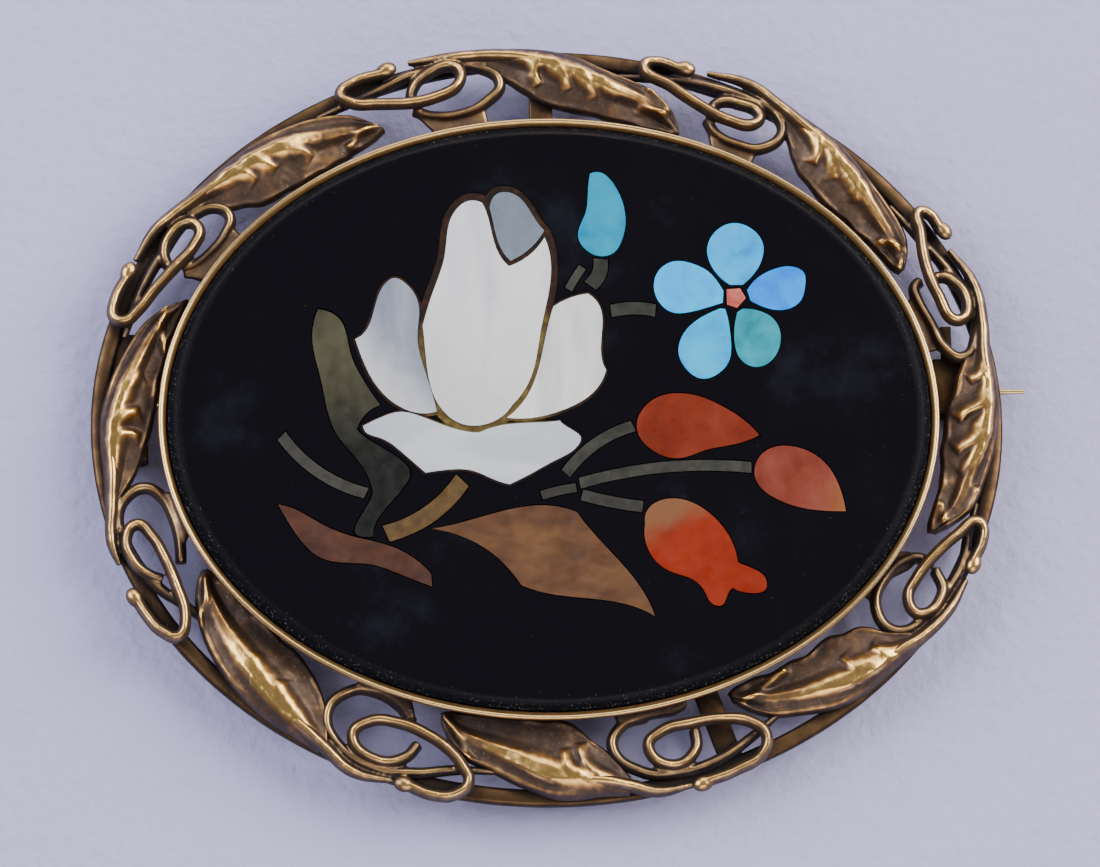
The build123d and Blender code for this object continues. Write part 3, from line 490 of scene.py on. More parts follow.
# The chased leaves, clockwise, each growing from the stem before it. A station is the outer edge's
# angle and share, the inner edge's angle and share, the crest's share between them and its height.
# Each vein is its points as (angle, share), from the crest inward, and the rib is the curled end's fold.
LEAVES = (
    {
        "stations": ((-11.0, 1.05, -10.8, 0.90, 0.50, 3.15), (-3.6, 1.03, -5.5, 0.66, 0.32, 3.45),
                     (1.0, 0.99, -2.0, 0.40, 0.27, 3.70), (5.0, 0.91, 2.5, 0.22, 0.28, 3.80),
                     (9.0, 0.77, 8.1, 0.14, 0.30, 3.70), (14.9, 0.62, 13.5, 0.10, 0.35, 3.35),
                     (18.6, 0.40, 18.0, 0.06, 0.45, 3.25), (20.6, 0.16, 20.3, 0.04, 0.50, 3.05)),
        "veins": (((-0.5, 0.84), (-0.8, 0.66), (-0.1, 0.50)), ((2.0, 0.81), (3.0, 0.62), (4.1, 0.44)),
                  ((5.6, 0.70), (6.6, 0.52), (7.8, 0.36)), ((8.3, 0.62), (11.3, 0.44))),
        "rib": ((14.9, 0.57), (17.8, 0.34), (14.1, 0.30)),
    },
    {
        "stations": ((32.3, 1.03, 31.6, 0.88, 0.50, 3.15), (36.5, 0.99, 34.8, 0.62, 0.34, 3.45),
                     (40.5, 0.96, 38.0, 0.35, 0.26, 3.70), (44.5, 0.89, 42.5, 0.17, 0.24, 3.80),
                     (48.5, 0.80, 47.5, 0.10, 0.26, 3.70), (52.5, 0.73, 52.5, 0.10, 0.34, 3.40),
                     (58.0, 0.62, 58.0, 0.12, 0.45, 3.30), (62.3, 0.36, 62.8, 0.14, 0.50, 3.05)),
        "veins": (((38.8, 0.86), (40.3, 0.62), (40.7, 0.46)), ((41.6, 0.86), (42.7, 0.62), (44.6, 0.45)),
                  ((46.3, 0.76), (47.7, 0.57), (49.3, 0.38)), ((48.8, 0.68), (51.4, 0.50))),
        "rib": ((56.6, 0.26), (60.1, 0.42), (62.2, 0.20)),
    },
    {
        "stations": ((76.0, 1.02, 75.5, 0.86, 0.50, 3.15), (80.9, 0.95, 79.5, 0.56, 0.32, 3.45),
                     (85.0, 0.95, 83.5, 0.36, 0.24, 3.70), (89.5, 0.94, 88.0, 0.20, 0.22, 3.80),
                     (95.0, 0.88, 94.0, 0.09, 0.24, 3.75), (100.0, 0.80, 100.5, 0.12, 0.34, 3.45),
                     (105.5, 0.70, 106.5, 0.14, 0.40, 3.30), (110.8, 0.38, 111.6, 0.17, 0.50, 3.05)),
        "veins": (((83.2, 0.82), (84.6, 0.52)), ((88.2, 0.80), (89.6, 0.46), (91.3, 0.31)),
                  ((93.4, 0.75), (95.4, 0.44), (96.9, 0.30)), ((97.0, 0.63), (100.3, 0.38))),
        "rib": ((102.5, 0.68), (106.2, 0.60), (108.9, 0.40), (106.3, 0.26)),
    },
    {
        "stations": ((126.0, 1.02, 125.5, 0.86, 0.50, 3.15), (129.5, 0.98, 128.5, 0.55, 0.32, 3.45),
                     (133.0, 0.96, 131.0, 0.24, 0.25, 3.75), (137.0, 0.95, 135.5, 0.07, 0.24, 3.85),
                     (141.1, 0.89, 140.0, 0.04, 0.30, 3.70), (146.0, 0.70, 145.5, 0.02, 0.36, 3.40),
                     (150.2, 0.52, 150.0, -0.01, 0.45, 3.25), (153.9, 0.20, 154.2, -0.02, 0.50, 3.05)),
        "veins": (((134.4, 0.80), (136.4, 0.58), (136.8, 0.36)),
                  ((138.6, 0.74), (141.8, 0.57), (144.6, 0.47)), ((131.2, 0.84), (132.6, 0.52))),
        "rib": ((145.2, 0.09), (148.5, 0.15), (152.4, 0.21)),
    },
    {
        "stations": ((171.0, 0.96, 170.5, 0.72, 0.50, 3.10), (174.2, 0.93, 172.8, 0.42, 0.34, 3.45),
                     (177.5, 0.95, 175.5, 0.16, 0.30, 3.70), (180.5, 0.93, 178.5, -0.02, 0.26, 3.85),
                     (184.1, 0.81, 183.1, -0.08, 0.28, 3.70), (189.1, 0.62, 188.5, -0.07, 0.36, 3.40),
                     (193.0, 0.50, 193.5, -0.06, 0.45, 3.25), (196.6, 0.16, 197.1, -0.04, 0.50, 3.05)),
        "veins": (((177.0, 0.68), (178.8, 0.56), (179.2, 0.32)),
                  ((174.0, 0.74), (176.4, 0.50), (176.9, 0.25)),
                  ((181.0, 0.72), (184.5, 0.56), (187.0, 0.45))),
        "rib": ((192.0, 0.52), (193.2, 0.36), (196.4, 0.04)),
    },
    {
        "stations": ((211.0, 0.99, 210.3, 0.80, 0.50, 3.15), (214.5, 0.96, 212.3, 0.50, 0.32, 3.45),
                     (218.0, 0.96, 215.5, 0.20, 0.28, 3.70), (222.0, 0.93, 219.5, 0.02, 0.30, 3.85),
                     (227.0, 0.84, 225.5, -0.06, 0.34, 3.75), (232.5, 0.68, 231.5, -0.08, 0.38, 3.40),
                     (237.5, 0.46, 237.0, -0.08, 0.42, 3.30), (242.0, 0.14, 241.7, -0.05, 0.50, 3.05)),
        "veins": (((215.6, 0.76), (219.4, 0.58), (220.6, 0.44)),
                  ((224.4, 0.60), (225.6, 0.44), (226.2, 0.32)),
                  ((225.1, 0.58), (228.2, 0.46), (231.6, 0.35))),
        "rib": ((235.0, 0.60), (237.4, 0.31), (240.2, 0.12)),
    },
    {
        "stations": ((257.0, 0.96, 257.5, 0.74, 0.50, 3.15), (261.8, 0.88, 261.5, 0.42, 0.30, 3.45),
                     (266.5, 0.87, 266.5, 0.18, 0.24, 3.70), (271.5, 0.86, 272.5, 0.04, 0.26, 3.85),
                     (276.5, 0.78, 278.0, 0.02, 0.32, 3.70), (282.0, 0.66, 284.0, 0.03, 0.40, 3.40),
                     (288.5, 0.48, 289.5, 0.04, 0.45, 3.30), (294.2, 0.15, 294.5, 0.03, 0.50, 3.05)),
        "veins": (((267.6, 0.76), (268.6, 0.46), (267.9, 0.26)),
                  ((270.2, 0.73), (272.0, 0.44), (272.8, 0.28)), ((276.8, 0.58), (279.2, 0.30))),
        "rib": ((284.0, 0.06), (288.3, 0.24), (292.2, 0.32)),
    },
    {
        "stations": ((304.3, 1.02, 304.5, 0.86, 0.50, 3.15), (308.8, 0.96, 308.3, 0.62, 0.34, 3.45),
                     (313.3, 0.94, 312.0, 0.34, 0.26, 3.70), (318.0, 0.93, 316.5, 0.14, 0.24, 3.85),
                     (323.0, 0.90, 322.5, 0.08, 0.28, 3.75), (328.0, 0.82, 328.0, 0.10, 0.38, 3.40),
                     (333.0, 0.66, 332.5, 0.14, 0.45, 3.25), (336.9, 0.36, 337.2, 0.24, 0.50, 3.05)),
        "veins": (((314.3, 0.83), (316.0, 0.62), (316.6, 0.44)),
                  ((318.0, 0.78), (319.3, 0.58), (320.2, 0.42)),
                  ((323.0, 0.66), (324.9, 0.46), (325.8, 0.32)), ((325.0, 0.66), (328.4, 0.53))),
        "rib": ((331.4, 0.24), (333.7, 0.34), (336.6, 0.38)),
    },
)

# The scroll units clockwise from the top. The upper wire starts in a granule, turns back and ends in a
# curl, the lower one makes a wider loop under it, and the stem runs on into the next leaf: each is its
# points as (angle, share, height). The web is the plate of solder between the loops and the rim, its
# corners as (angle, share). web_top is the height of its top at the rim, and how far it would fall in
# going as far out again as the rim is from the middle.
UNITS = (
    {
        "upper": ((-19.9, 1.00, 3.00), (-25.0, 1.00, 3.20), (-26.8, 0.92, 3.30), (-26.0, 0.76, 3.40),
                  (-23.0, 0.62, 3.50), (-14.5, 0.49, 3.55), (-10.9, 0.65, 3.45), (-11.1, 0.84, 3.25),
                  (-15.4, 0.82, 3.05), (-17.5, 0.67, 2.90), (-18.1, 0.50, 2.80)),
        "lower": ((-31.0, 0.78, 2.65), (-22.2, 0.81, 2.65), (-16.8, 0.89, 2.65), (-7.9, 0.82, 2.70),
                  (-5.5, 0.59, 2.75), (-7.6, 0.37, 2.75), (-11.8, 0.25, 2.70), (-15.8, 0.31, 2.65),
                  (-18.0, 0.44, 2.65)),
        "stem": ((-17.0, 1.05, 2.80), (-10.7, 1.04, 2.90), (-2.5, 0.96, 3.00)),
        "web": ((-18.4, 0.40), (-15.7, 0.31), (-12.2, 0.26), (-9.1, 0.35), (-7.9, 0.30), (-7.8, 0.14),
                (-7.2, -0.16), (-15.2, -0.16), (-16.2, 0.10), (-17.4, 0.28)),
        "web_top": (2.75, 0.0),
    },
    {
        "upper": ((18.9, 0.95, 3.00), (14.5, 0.96, 3.20), (13.5, 0.88, 3.30), (17.6, 0.68, 3.45),
                  (21.4, 0.55, 3.50), (26.5, 0.47, 3.50), (30.2, 0.56, 3.40), (30.4, 0.70, 3.25),
                  (27.0, 0.75, 3.05), (24.4, 0.68, 2.90), (23.6, 0.52, 2.80)),
        "lower": ((8.5, 0.70, 2.60), (18.6, 0.82, 2.65), (23.6, 0.87, 2.65), (28.5, 0.88, 2.65),
                  (32.3, 0.84, 2.70), (34.2, 0.65, 2.75), (32.5, 0.33, 2.75), (29.3, 0.25, 2.70),
                  (25.8, 0.28, 2.65), (23.6, 0.43, 2.65)),
        "stem": ((21.7, 1.01, 2.80), (27.3, 1.06, 2.90), (32.5, 1.00, 2.95), (36.0, 0.95, 3.00)),
        "web": ((23.6, 0.44), (25.7, 0.34), (28.9, 0.30), (31.6, 0.35), (32.4, 0.26), (32.4, 0.12),
                (33.0, -0.16), (26.4, -0.16), (25.6, 0.08), (24.4, 0.26)),
        "web_top": (2.75, 0.0),
    },
    {
        "upper": ((60.9, 1.05, 3.00), (57.5, 1.04, 3.20), (56.6, 0.94, 3.30), (59.1, 0.78, 3.45),
                  (63.5, 0.57, 3.50), (69.1, 0.49, 3.50), (74.1, 0.59, 3.40), (72.9, 0.81, 3.25),
                  (67.3, 0.76, 3.05), (66.0, 0.58, 2.85)),
        "lower": ((53.0, 0.72, 2.65), (61.2, 0.76, 2.65), (66.8, 0.84, 2.65), (73.2, 0.90, 2.65),
                  (76.8, 0.82, 2.70), (79.9, 0.54, 2.75), (77.2, 0.29, 2.75), (73.3, 0.25, 2.70),
                  (67.9, 0.23, 2.65), (65.9, 0.28, 2.65), (65.4, 0.41, 2.65)),
        "stem": ((63.5, 1.00, 2.80), (69.6, 1.06, 2.90), (74.5, 1.01, 2.95), (82.0, 0.92, 3.00)),
        "web": ((66.2, 0.30), (69.9, 0.24), (73.6, 0.23), (76.6, 0.27), (77.8, 0.30), (77.6, 0.14),
                (77.4, -0.16), (69.2, -0.16), (67.4, 0.10)),
        "web_top": (2.75, 1.0),
    },
    {
        "upper": ((113.3, 0.98, 3.00), (109.2, 0.98, 3.20), (107.6, 0.92, 3.30), (107.1, 0.81, 3.40),
                  (110.1, 0.62, 3.50), (114.2, 0.46, 3.50), (119.4, 0.39, 3.40), (122.9, 0.46, 3.30),
                  (123.8, 0.70, 3.20), (119.1, 0.81, 3.00), (116.4, 0.55, 2.80)),
        "lower": ((104.0, 0.74, 2.65), (109.2, 0.77, 2.65), (113.1, 0.85, 2.65), (117.5, 0.85, 2.65),
                  (123.3, 0.81, 2.70), (127.8, 0.60, 2.75), (127.0, 0.20, 2.75), (121.5, 0.03, 2.70),
                  (116.6, 0.18, 2.65), (115.6, 0.36, 2.65)),
        "stem": ((115.5, 1.01, 2.80), (120.6, 1.01, 2.90), (127.0, 0.97, 2.95), (132.0, 0.88, 3.00)),
        "web": ((117.6, -0.16), (115.8, 0.10), (115.3, 0.32), (118.6, 0.24), (121.6, 0.10), (124.2, 0.12),
                (126.6, 0.18), (126.9, -0.16)),
        "web_top": (2.85, 2.0),
    },
    {
        "upper": ((161.8, 1.00, 3.00), (157.5, 0.99, 3.20), (153.0, 0.90, 3.30), (151.8, 0.70, 3.40),
                  (153.2, 0.48, 3.48), (156.5, 0.32, 3.50), (160.8, 0.25, 3.50), (165.5, 0.26, 3.40),
                  (167.5, 0.40, 3.30), (165.1, 0.69, 3.10), (161.4, 0.58, 2.95), (160.5, 0.32, 2.80)),
        "lower": ((147.8, 0.52, 2.60), (153.2, 0.65, 2.65), (158.9, 0.78, 2.65), (164.2, 0.79, 2.65),
                  (169.0, 0.68, 2.70), (172.3, 0.33, 2.75), (170.5, 0.08, 2.75), (166.7, 0.02, 2.70)),
        "stem": ((163.0, 0.99, 2.80), (167.4, 0.97, 2.85), (172.0, 0.88, 2.90), (177.5, 0.70, 3.00)),
        "web": ((170.9, 0.12), (171.8, -0.16), (166.2, -0.18), (160.4, -0.18), (160.6, 0.04),
                (162.8, 0.09), (165.7, 0.07), (168.4, 0.06)),
        "web_top": (3.20, 5.0),
    },
    {
        "upper": ((199.4, 0.98, 3.00), (195.6, 1.04, 3.15), (192.8, 0.98, 3.30), (191.4, 0.80, 3.38),
                  (192.4, 0.64, 3.45), (194.6, 0.46, 3.50), (198.0, 0.33, 3.50), (202.4, 0.28, 3.45),
                  (206.4, 0.38, 3.35), (207.8, 0.62, 3.20), (203.6, 0.80, 3.05), (200.2, 0.66, 2.90),
                  (199.0, 0.45, 2.80)),
        "lower": ((188.0, 0.62, 2.65), (193.2, 0.66, 2.65), (198.9, 0.82, 2.65), (203.8, 0.90, 2.65),
                  (208.8, 0.80, 2.70), (212.4, 0.48, 2.75), (210.7, 0.08, 2.75), (207.5, -0.02, 2.70),
                  (203.3, 0.04, 2.65), (200.6, 0.20, 2.65)),
        "stem": ((201.0, 0.99, 2.80), (206.0, 1.04, 2.88), (211.4, 0.98, 2.95), (217.0, 0.92, 3.00)),
        "web": ((210.6, 0.04), (210.0, -0.20), (206.5, -0.22), (202.6, -0.20), (200.6, 0.10),
                (199.7, 0.24), (201.1, 0.20), (202.7, 0.12), (204.6, 0.03), (206.8, 0.00), (209.4, 0.06)),
        "web_top": (3.20, 5.0),
    },
    {
        "upper": ((243.7, 1.06, 3.00), (240.7, 1.07, 3.15), (237.5, 1.03, 3.30), (235.5, 0.90, 3.38),
                  (236.8, 0.68, 3.45), (242.0, 0.49, 3.50), (246.9, 0.43, 3.50), (250.5, 0.45, 3.40),
                  (253.5, 0.60, 3.30), (252.1, 0.80, 3.15), (248.5, 0.84, 3.05), (245.8, 0.74, 2.92),
                  (244.0, 0.60, 2.80)),
        "lower": ((233.0, 0.45, 2.65), (238.0, 0.52, 2.65), (244.1, 0.72, 2.65), (251.5, 0.83, 2.65),
                  (255.9, 0.80, 2.70), (258.6, 0.58, 2.75), (259.2, 0.30, 2.75), (256.8, 0.11, 2.70),
                  (252.8, 0.06, 2.65), (248.4, 0.12, 2.65), (244.9, 0.26, 2.65)),
        "stem": ((248.9, 1.04, 2.80), (252.5, 1.01, 2.90), (257.0, 0.97, 2.95), (263.0, 0.90, 3.00)),
        "web": ((257.6, 0.12), (257.0, -0.20), (249.8, -0.22), (248.6, -0.04), (247.2, 0.10),
                (248.6, 0.12), (252.4, 0.06), (255.8, 0.06)),
        "web_top": (3.15, 4.0),
    },
    {
        "upper": ((294.1, 0.99, 3.00), (289.5, 1.01, 3.15), (286.8, 0.92, 3.30), (286.8, 0.76, 3.40),
                  (289.0, 0.64, 3.45), (293.5, 0.54, 3.50), (298.5, 0.45, 3.50), (302.2, 0.42, 3.40),
                  (305.2, 0.52, 3.30), (305.0, 0.70, 3.15), (301.6, 0.79, 3.05), (298.9, 0.70, 2.92),
                  (297.6, 0.52, 2.80)),
        "lower": ((284.5, 0.70, 2.65), (290.0, 0.72, 2.65), (298.3, 0.74, 2.65), (307.0, 0.72, 2.70),
                  (309.9, 0.55, 2.75), (310.0, 0.34, 2.75), (307.8, 0.23, 2.70), (304.0, 0.20, 2.65),
                  (300.5, 0.27, 2.65), (298.6, 0.38, 2.65)),
        "stem": ((296.0, 1.01, 2.80), (301.5, 1.01, 2.90), (306.7, 0.97, 2.95), (312.0, 0.90, 3.00)),
        "web": ((309.2, 0.26), (309.0, -0.14), (304.7, -0.16), (299.2, -0.16), (298.2, 0.18),
                (297.4, 0.32), (299.2, 0.34), (301.4, 0.27), (305.0, 0.21), (307.8, 0.23)),
        "web_top": (2.95, 2.0),
    },
)

# The border's wire is a strip on edge, its sides sloping up to a narrow rubbed top
WIRE_WIDE = 0.64
WIRE_ABOVE = 0.42
WIRE_BELOW = 0.50
WIRE_HALF = (
    (0.34 * WIRE_WIDE, -WIRE_BELOW),
    (0.50 * WIRE_WIDE, -0.8 * WIRE_BELOW),
    (0.50 * WIRE_WIDE, -0.1 * WIRE_BELOW),
    (0.40 * WIRE_WIDE, 0.35 * WIRE_ABOVE),
    (0.26 * WIRE_WIDE, 0.75 * WIRE_ABOVE),
    (0.13 * WIRE_WIDE, 0.96 * WIRE_ABOVE),
)
WIRE_PROFILE = profile_of("strip_on_edge", WIRE_HALF + ((0.0, WIRE_ABOVE),)
                          + tuple((-x, y) for x, y in reversed(WIRE_HALF)))
WIRE_STEP = 0.12
WIRE_WANDER = 0.06

# A free end is this share of the wire's thickness, and the lower wire's next point this
THIN_END = 0.5
NEXT_TO_END = 0.85

WEB_BOTTOM = 2.30
WEB_EDGE = 0.2
WELD_VOXEL = 0.08
WELD_SOFTENING = 4

# The granule sits a little outside and above the wire's own end, drawn out along it
GRANULE = 0.43
GRANULE_STRETCH = (1.35, 1.0, 0.95)
GRANULE_OUT = 0.02
GRANULE_UP = 0.08

# At a leaf's first stations the stem swells and sinks into the crest, and its own points stop this
# many degrees before them
STEM_SWELL = (1.15, 1.25, 1.25, 1.2)
STEM_SINK = (0.10, 0.30, 0.65, 1.05)
STEM_STOPS = 2


def scroll_unit(number, unit):
    """One unit's wires and the web behind them, run together where the flame has joined them."""
    upper = [(at(*point), 1.0) for point in unit["upper"]]
    lower = [(at(*point), 1.0) for point in unit["lower"]]
    lower[0] = (lower[0][0], THIN_END)
    lower[1] = (lower[1][0], NEXT_TO_END)
    routes = [upper, lower, stem_route(unit["stem"], LEAVES[number - 1]["stations"])]
    wires = swept_mesh(f"unit_{number}", routes, WIRE_PROFILE, WIRE_STEP, WIRE_WANDER, GOLD)
    angle, share, height = unit["upper"][0]
    bead = granule(angle, share + GRANULE_OUT, height + GRANULE_UP)
    obj = joined(f"scroll_unit_{number}", [wires, web(unit["web"], *unit["web_top"]), bead])
    melt(obj, WELD_VOXEL, WELD_SOFTENING)
    finished(obj, GOLD)


def web(corners, at_rim, fall):
    """The solder between a unit's loops and the rim, its top falling away outward."""
    outline = [tuple(at(*corner, 0))[:2] for corner in reversed(corners)]
    mesh = outlined_plate("web", outline, WEB_BOTTOM, at_rim, WEB_EDGE)
    for vertex in mesh.vertices:
        outward = math.hypot((vertex.co.x - PLAQUE_X) / RIM_LONG, vertex.co.y / RIM_SHORT) - 1
        if vertex.co.z > WEB_BOTTOM + WEB_EDGE:
            vertex.co.z -= fall * max(outward, 0)
    return mesh


def stem_route(stem, stations):
    """The outer stem, and on along the crest of the leaf that it grows into, lower and lower."""
    route = [(at(*point), 1.0) for point in stem if point[0] < stations[0][0] - STEM_STOPS]
    route[0] = (route[0][0], THIN_END)
    for station, swell, sink in zip(stations, STEM_SWELL, STEM_SINK):
        outer_angle, outer_share, inner_angle, inner_share, crest, height = station
        angle = outer_angle + (inner_angle - outer_angle) * crest
        share = outer_share + (inner_share - outer_share) * crest
        route.append((at(angle, share, height - sink), swell))
    return route


def granule(angle, share, height):
    """A bead of gold run out along the wire that it ends."""
    along = (at(angle + 1, share, height) - at(angle - 1, share, height)).normalized()
    turn = Matrix.Rotation(math.atan2(along.y, along.x), 4, "Z")
    place = Matrix.Translation(at(angle, share, height)) @ turn @ Matrix.Diagonal((*GRANULE_STRETCH, 1.0))
    ball = bmesh.new()
    bmesh.ops.create_icosphere(ball, subdivisions=3, radius=GRANULE)
    bmesh.ops.transform(ball, matrix=place, verts=ball.verts)
    mesh = bpy.data.meshes.new("granule")
    ball.to_mesh(mesh)
    ball.free()
    return mesh


for unit_number, unit_row in enumerate(UNITS, start=1):
    scroll_unit(unit_number, unit_row)

# A leaf's face is a grid of steps along it and rows across it, from its outer edge to its inner one
LEAF_STEPS = 160
LEAF_ROWS = 50
LEAF_LONG = 14
LEAF_THICK = 0.50
LEAF_THINNEST = 0.2
LOWEST_UNDERSIDE = 2.15
OUTER_EDGE = 2.85
INNER_EDGE = 2.95
EDGE_ROUND = 0.16
EDGE_DROP = 0.18

# The blade sags between crest and inner edge, and a little between crest and outer edge
HOLLOW = 0.50
OUTER_HOLLOW = 0.16
DOME_FULLNESS = 0.8

# A vein stands up as a finger, steep on its clockwise side with a hollow beyond, and the rib as a fold.
# Each is followed by this many points.
LINE_POINTS = 14
STEEP_SIDE = 0.21
GENTLE_SIDE = 0.52
FINGER_FULL = 0.92
FINGER_PROUD = 0.06
BESIDE_FINGER = 0.42
BESIDE_WIDE = 0.22
BESIDE_DEEP = 0.28
RIB_HEIGHT = 0.42
RIB_WIDE = 0.27

# Lips turned up along the edges: distance from the edge, half width and height
INNER_LIP = (0.2, 0.14, 0.10)
OUTER_LIP = (0.2, 0.13, 0.14)

# The tip is rounded over this share of the length, and the inner edge is ragged
TIP_SHARE = 0.07
TIP_NARROWS = 0.75
RAG_SIZE = 1.1
RAG_DEPTH = 0.22

# Dents of the punch, as (size, depth)
BROAD_DENTS = (0.9, 0.04)
FINE_DENTS = (0.3, 0.02)

# What stands this far above its neighbours is rubbed quite bright, and painted as a highlight
PROUD_ENOUGH = 0.11


def smooth_rows(rows, count):
    """Rows of numbers followed smoothly (Catmull-Rom) in a number of even steps."""
    table = np.array(rows, dtype=float)
    padded = np.vstack((2 * table[0] - table[1], table, 2 * table[-1] - table[-2]))
    place = np.linspace(0, len(table) - 1, count)
    start = np.minimum(place.astype(int), len(table) - 2)
    t = (place - start)[:, None]
    p0, p1, p2, p3 = (padded[start + k] for k in range(4))
    square = (2 * p0 - 5 * p1 + 4 * p2 - p3) * t**2
    cube = (3 * p1 - p0 - 3 * p2 + p3) * t**3
    return 0.5 * (2 * p1 + (p2 - p0) * t + square + cube)


def border_xy(angle, share):
    """Plan positions for arrays of angles and shares."""
    turn = np.radians(angle)
    return np.stack((PLAQUE_X + (RIM_LONG + share * BORDER_ENDS) * np.sin(turn),
                     (RIM_SHORT + share * BORDER_SIDES) * np.cos(turn)), axis=-1)


def smoothstep(low, high, value):
    """0 below low, 1 above high, smooth between."""
    t = np.clip((value - low) / (high - low), 0, 1)
    return t * t * (3 - 2 * t)


def beside(plan, points):
    """Each plan point's distance from a line, below zero to the right of its run, and how far along."""
    line = border_xy(*smooth_rows(points, LINE_POINTS).T)
    nearest = np.full(plan.shape[:2], np.inf)
    signed = np.zeros(plan.shape[:2])
    along = np.zeros(plan.shape[:2])
    for step, (start, end) in enumerate(zip(line, line[1:])):
        run = end - start
        length = np.hypot(*run)
        offset = plan - start
        share = np.clip((offset @ run) / length**2, 0, 1)
        side = offset[..., 1] * run[0] - offset[..., 0] * run[1]
        distance = np.linalg.norm(offset - share[..., None] * run, axis=-1)
        closer = distance < nearest
        nearest = np.where(closer, distance, nearest)
        signed = np.where(closer, np.where(side > 0, distance, -distance), signed)
        along = np.where(closer, (step + share) / (len(line) - 1), along)
    return signed, along


def hump(distance, width):
    """A smooth bump, 1 where the distance is nothing."""
    return np.exp(-(distance / width) ** 2)


def blurred(grid, reach):
    """A grid averaged over a square of neighbours."""
    total = np.pad(grid, reach, mode="edge").cumsum(0).cumsum(1)
    total = np.pad(total, ((1, 0), (1, 0)))
    size = 2 * reach + 1
    squares = total[size:, size:] - total[:-size, size:] - total[size:, :-size] + total[:-size, :-size]
    return squares / size**2


def leaf_heights(plan, stations, row):
    """Height of the leaf's face: a broad domed crest that runs out in fingers over a sagging blade."""
    steps, rows = plan.shape[:2]
    share = np.linspace(0, 1, rows)[None, :]
    run = np.linspace(0, 1, steps)[:, None]
    crest_at, crest = stations[:, 4:5], stations[:, 5:6]
    # From the outer edge up to the crest
    rise = np.clip(share / crest_at, 0, 1)
    dome = OUTER_EDGE + (crest - OUTER_EDGE) * np.sin(rise * np.pi / 2) ** DOME_FULLNESS
    dome = dome - OUTER_HOLLOW * np.sin(np.pi * rise) ** 2 * smoothstep(0.2, 0.45, run)
    # From the crest down over the blade to the inner edge, with no sag at the leaf's two ends
    inner = np.clip((share - crest_at) / (1 - crest_at), 0, 1)
    sag = HOLLOW * smoothstep(0.0, 0.2, run) * smoothstep(1.0, 0.8, run)
    blade = crest - sag * smoothstep(0.12, 0.5, inner)
    blade = blade - (crest - sag - INNER_EDGE) * smoothstep(0.3, 1, inner)
    height = np.where(share < crest_at, dome, blade)
    # The fingers and the fold, both lower toward the end of their lines
    inward = smoothstep(0.3, 1.0, share / crest_at)
    for points in row["veins"]:
        distance, along = beside(plan, points)
        finger = hump(distance, np.where(distance > 0, STEEP_SIDE, GENTLE_SIDE)) * (1 - along) ** 0.5
        hollow = BESIDE_DEEP * hump(distance - BESIDE_FINGER, BESIDE_WIDE) * (1 - along)
        hollow = hollow * smoothstep(0.1, 0.4, inner)
        height = height + (FINGER_FULL * (crest - height) + FINGER_PROUD) * finger * inward - hollow
    distance, along = beside(plan, row["rib"])
    return height + RIB_HEIGHT * hump(distance, RIB_WIDE) * (1 - 0.4 * along)


def lumps(plan, size, seed):
    """Even, repeatable unevenness of a given size."""
    flat = plan.reshape(-1, 2)
    values = [noise.noise(Vector((x / size, y / size, seed))) for x, y in flat]
    return np.array(values).reshape(plan.shape[:2])


def leaf_plan(number, outer, inner):
    """Plan places of a leaf's grid, its tip rounded and its inner edge ragged."""
    share = np.linspace(0, 1, LEAF_ROWS)[None, :, None]
    run = np.linspace(0, 1, LEAF_STEPS)[:, None]
    plan = outer[:, None] * (1 - share) + inner[:, None] * share
    ragged = lumps(plan, RAG_SIZE, 3.1 * number) * RAG_DEPTH
    middle = plan.mean(axis=1, keepdims=True)
    narrowed = np.sqrt(1 - TIP_NARROWS * np.clip((run - 1 + TIP_SHARE) / TIP_SHARE, 0, 1) ** 2)
    plan = middle + (plan - middle) * narrowed[..., None]
    pull = np.sin(np.pi * run) * share[..., 0] ** 4
    across = inner - outer
    inward = across / np.linalg.norm(across, axis=1, keepdims=True)
    return plan + inward[:, None] * (ragged * pull)[..., None]


def rubbed_and_lit_places(top, share, crest_at):
    """How bright each place is rubbed and painted lit, a painted highlight as well as wear: most where it is
    high, on the crest or above its neighbours, and least on the outer slope, where it is painted in shade."""
    high = 0.50 * smoothstep(3.2, 3.75, top)
    crest = 0.40 * hump(share - crest_at, 0.13) * smoothstep(3.1, 3.7, top)
    outer_slope = 0.25 * hump(share / crest_at - 0.5, 0.3)
    return high + crest - outer_slope + (top - blurred(top, 4)) / PROUD_ENOUGH


def leaf(number, row):
    """One leaf as a thin closed shell with a chased face."""
    stations = smooth_rows(row["stations"], LEAF_STEPS)
    outer, inner = border_xy(*stations[:, 0:2].T), border_xy(*stations[:, 2:4].T)
    plan = leaf_plan(number, outer, inner)
    share = np.linspace(0, 1, LEAF_ROWS)[None, :]
    run = np.linspace(0, 1, LEAF_STEPS)[:, None]
    top = leaf_heights(plan, stations, row)
    for (size, depth), seed in ((BROAD_DENTS, number), (FINE_DENTS, number + 0.5)):
        top = top + depth * lumps(plan, size, seed)
    raised = rubbed_and_lit_places(top, share, stations[:, 4:5])
    width = np.linalg.norm(inner - outer, axis=1)[:, None]
    edge = np.minimum(np.minimum(share, 1 - share) * width, run[::-1] * LEAF_LONG)
    away, wide, inner_high = INNER_LIP
    inner_lip = hump((1 - share) * width - away, wide)
    inner_lip = inner_lip * smoothstep(-0.1, 0.3, lumps(plan, 1.4, number + 7.0))
    away, wide, outer_high = OUTER_LIP
    outer_lip = hump(share * width - away, wide) * smoothstep(0.35, 0.6, run)
    rounded = EDGE_DROP * (1 - smoothstep(0, EDGE_ROUND, edge))
    top = top + inner_high * inner_lip + outer_high * outer_lip - rounded
    # Painted highlight along the turned-up lips, as well as rubbing
    raised = np.clip(raised + 0.4 * inner_lip + 0.5 * outer_lip, 0, 1)
    under = np.minimum(blurred(top, 6) - LEAF_THICK, top - LEAF_THINNEST)
    leaf_shell(f"leaf_{number}", plan, top, np.maximum(under, LOWEST_UNDERSIDE), raised)


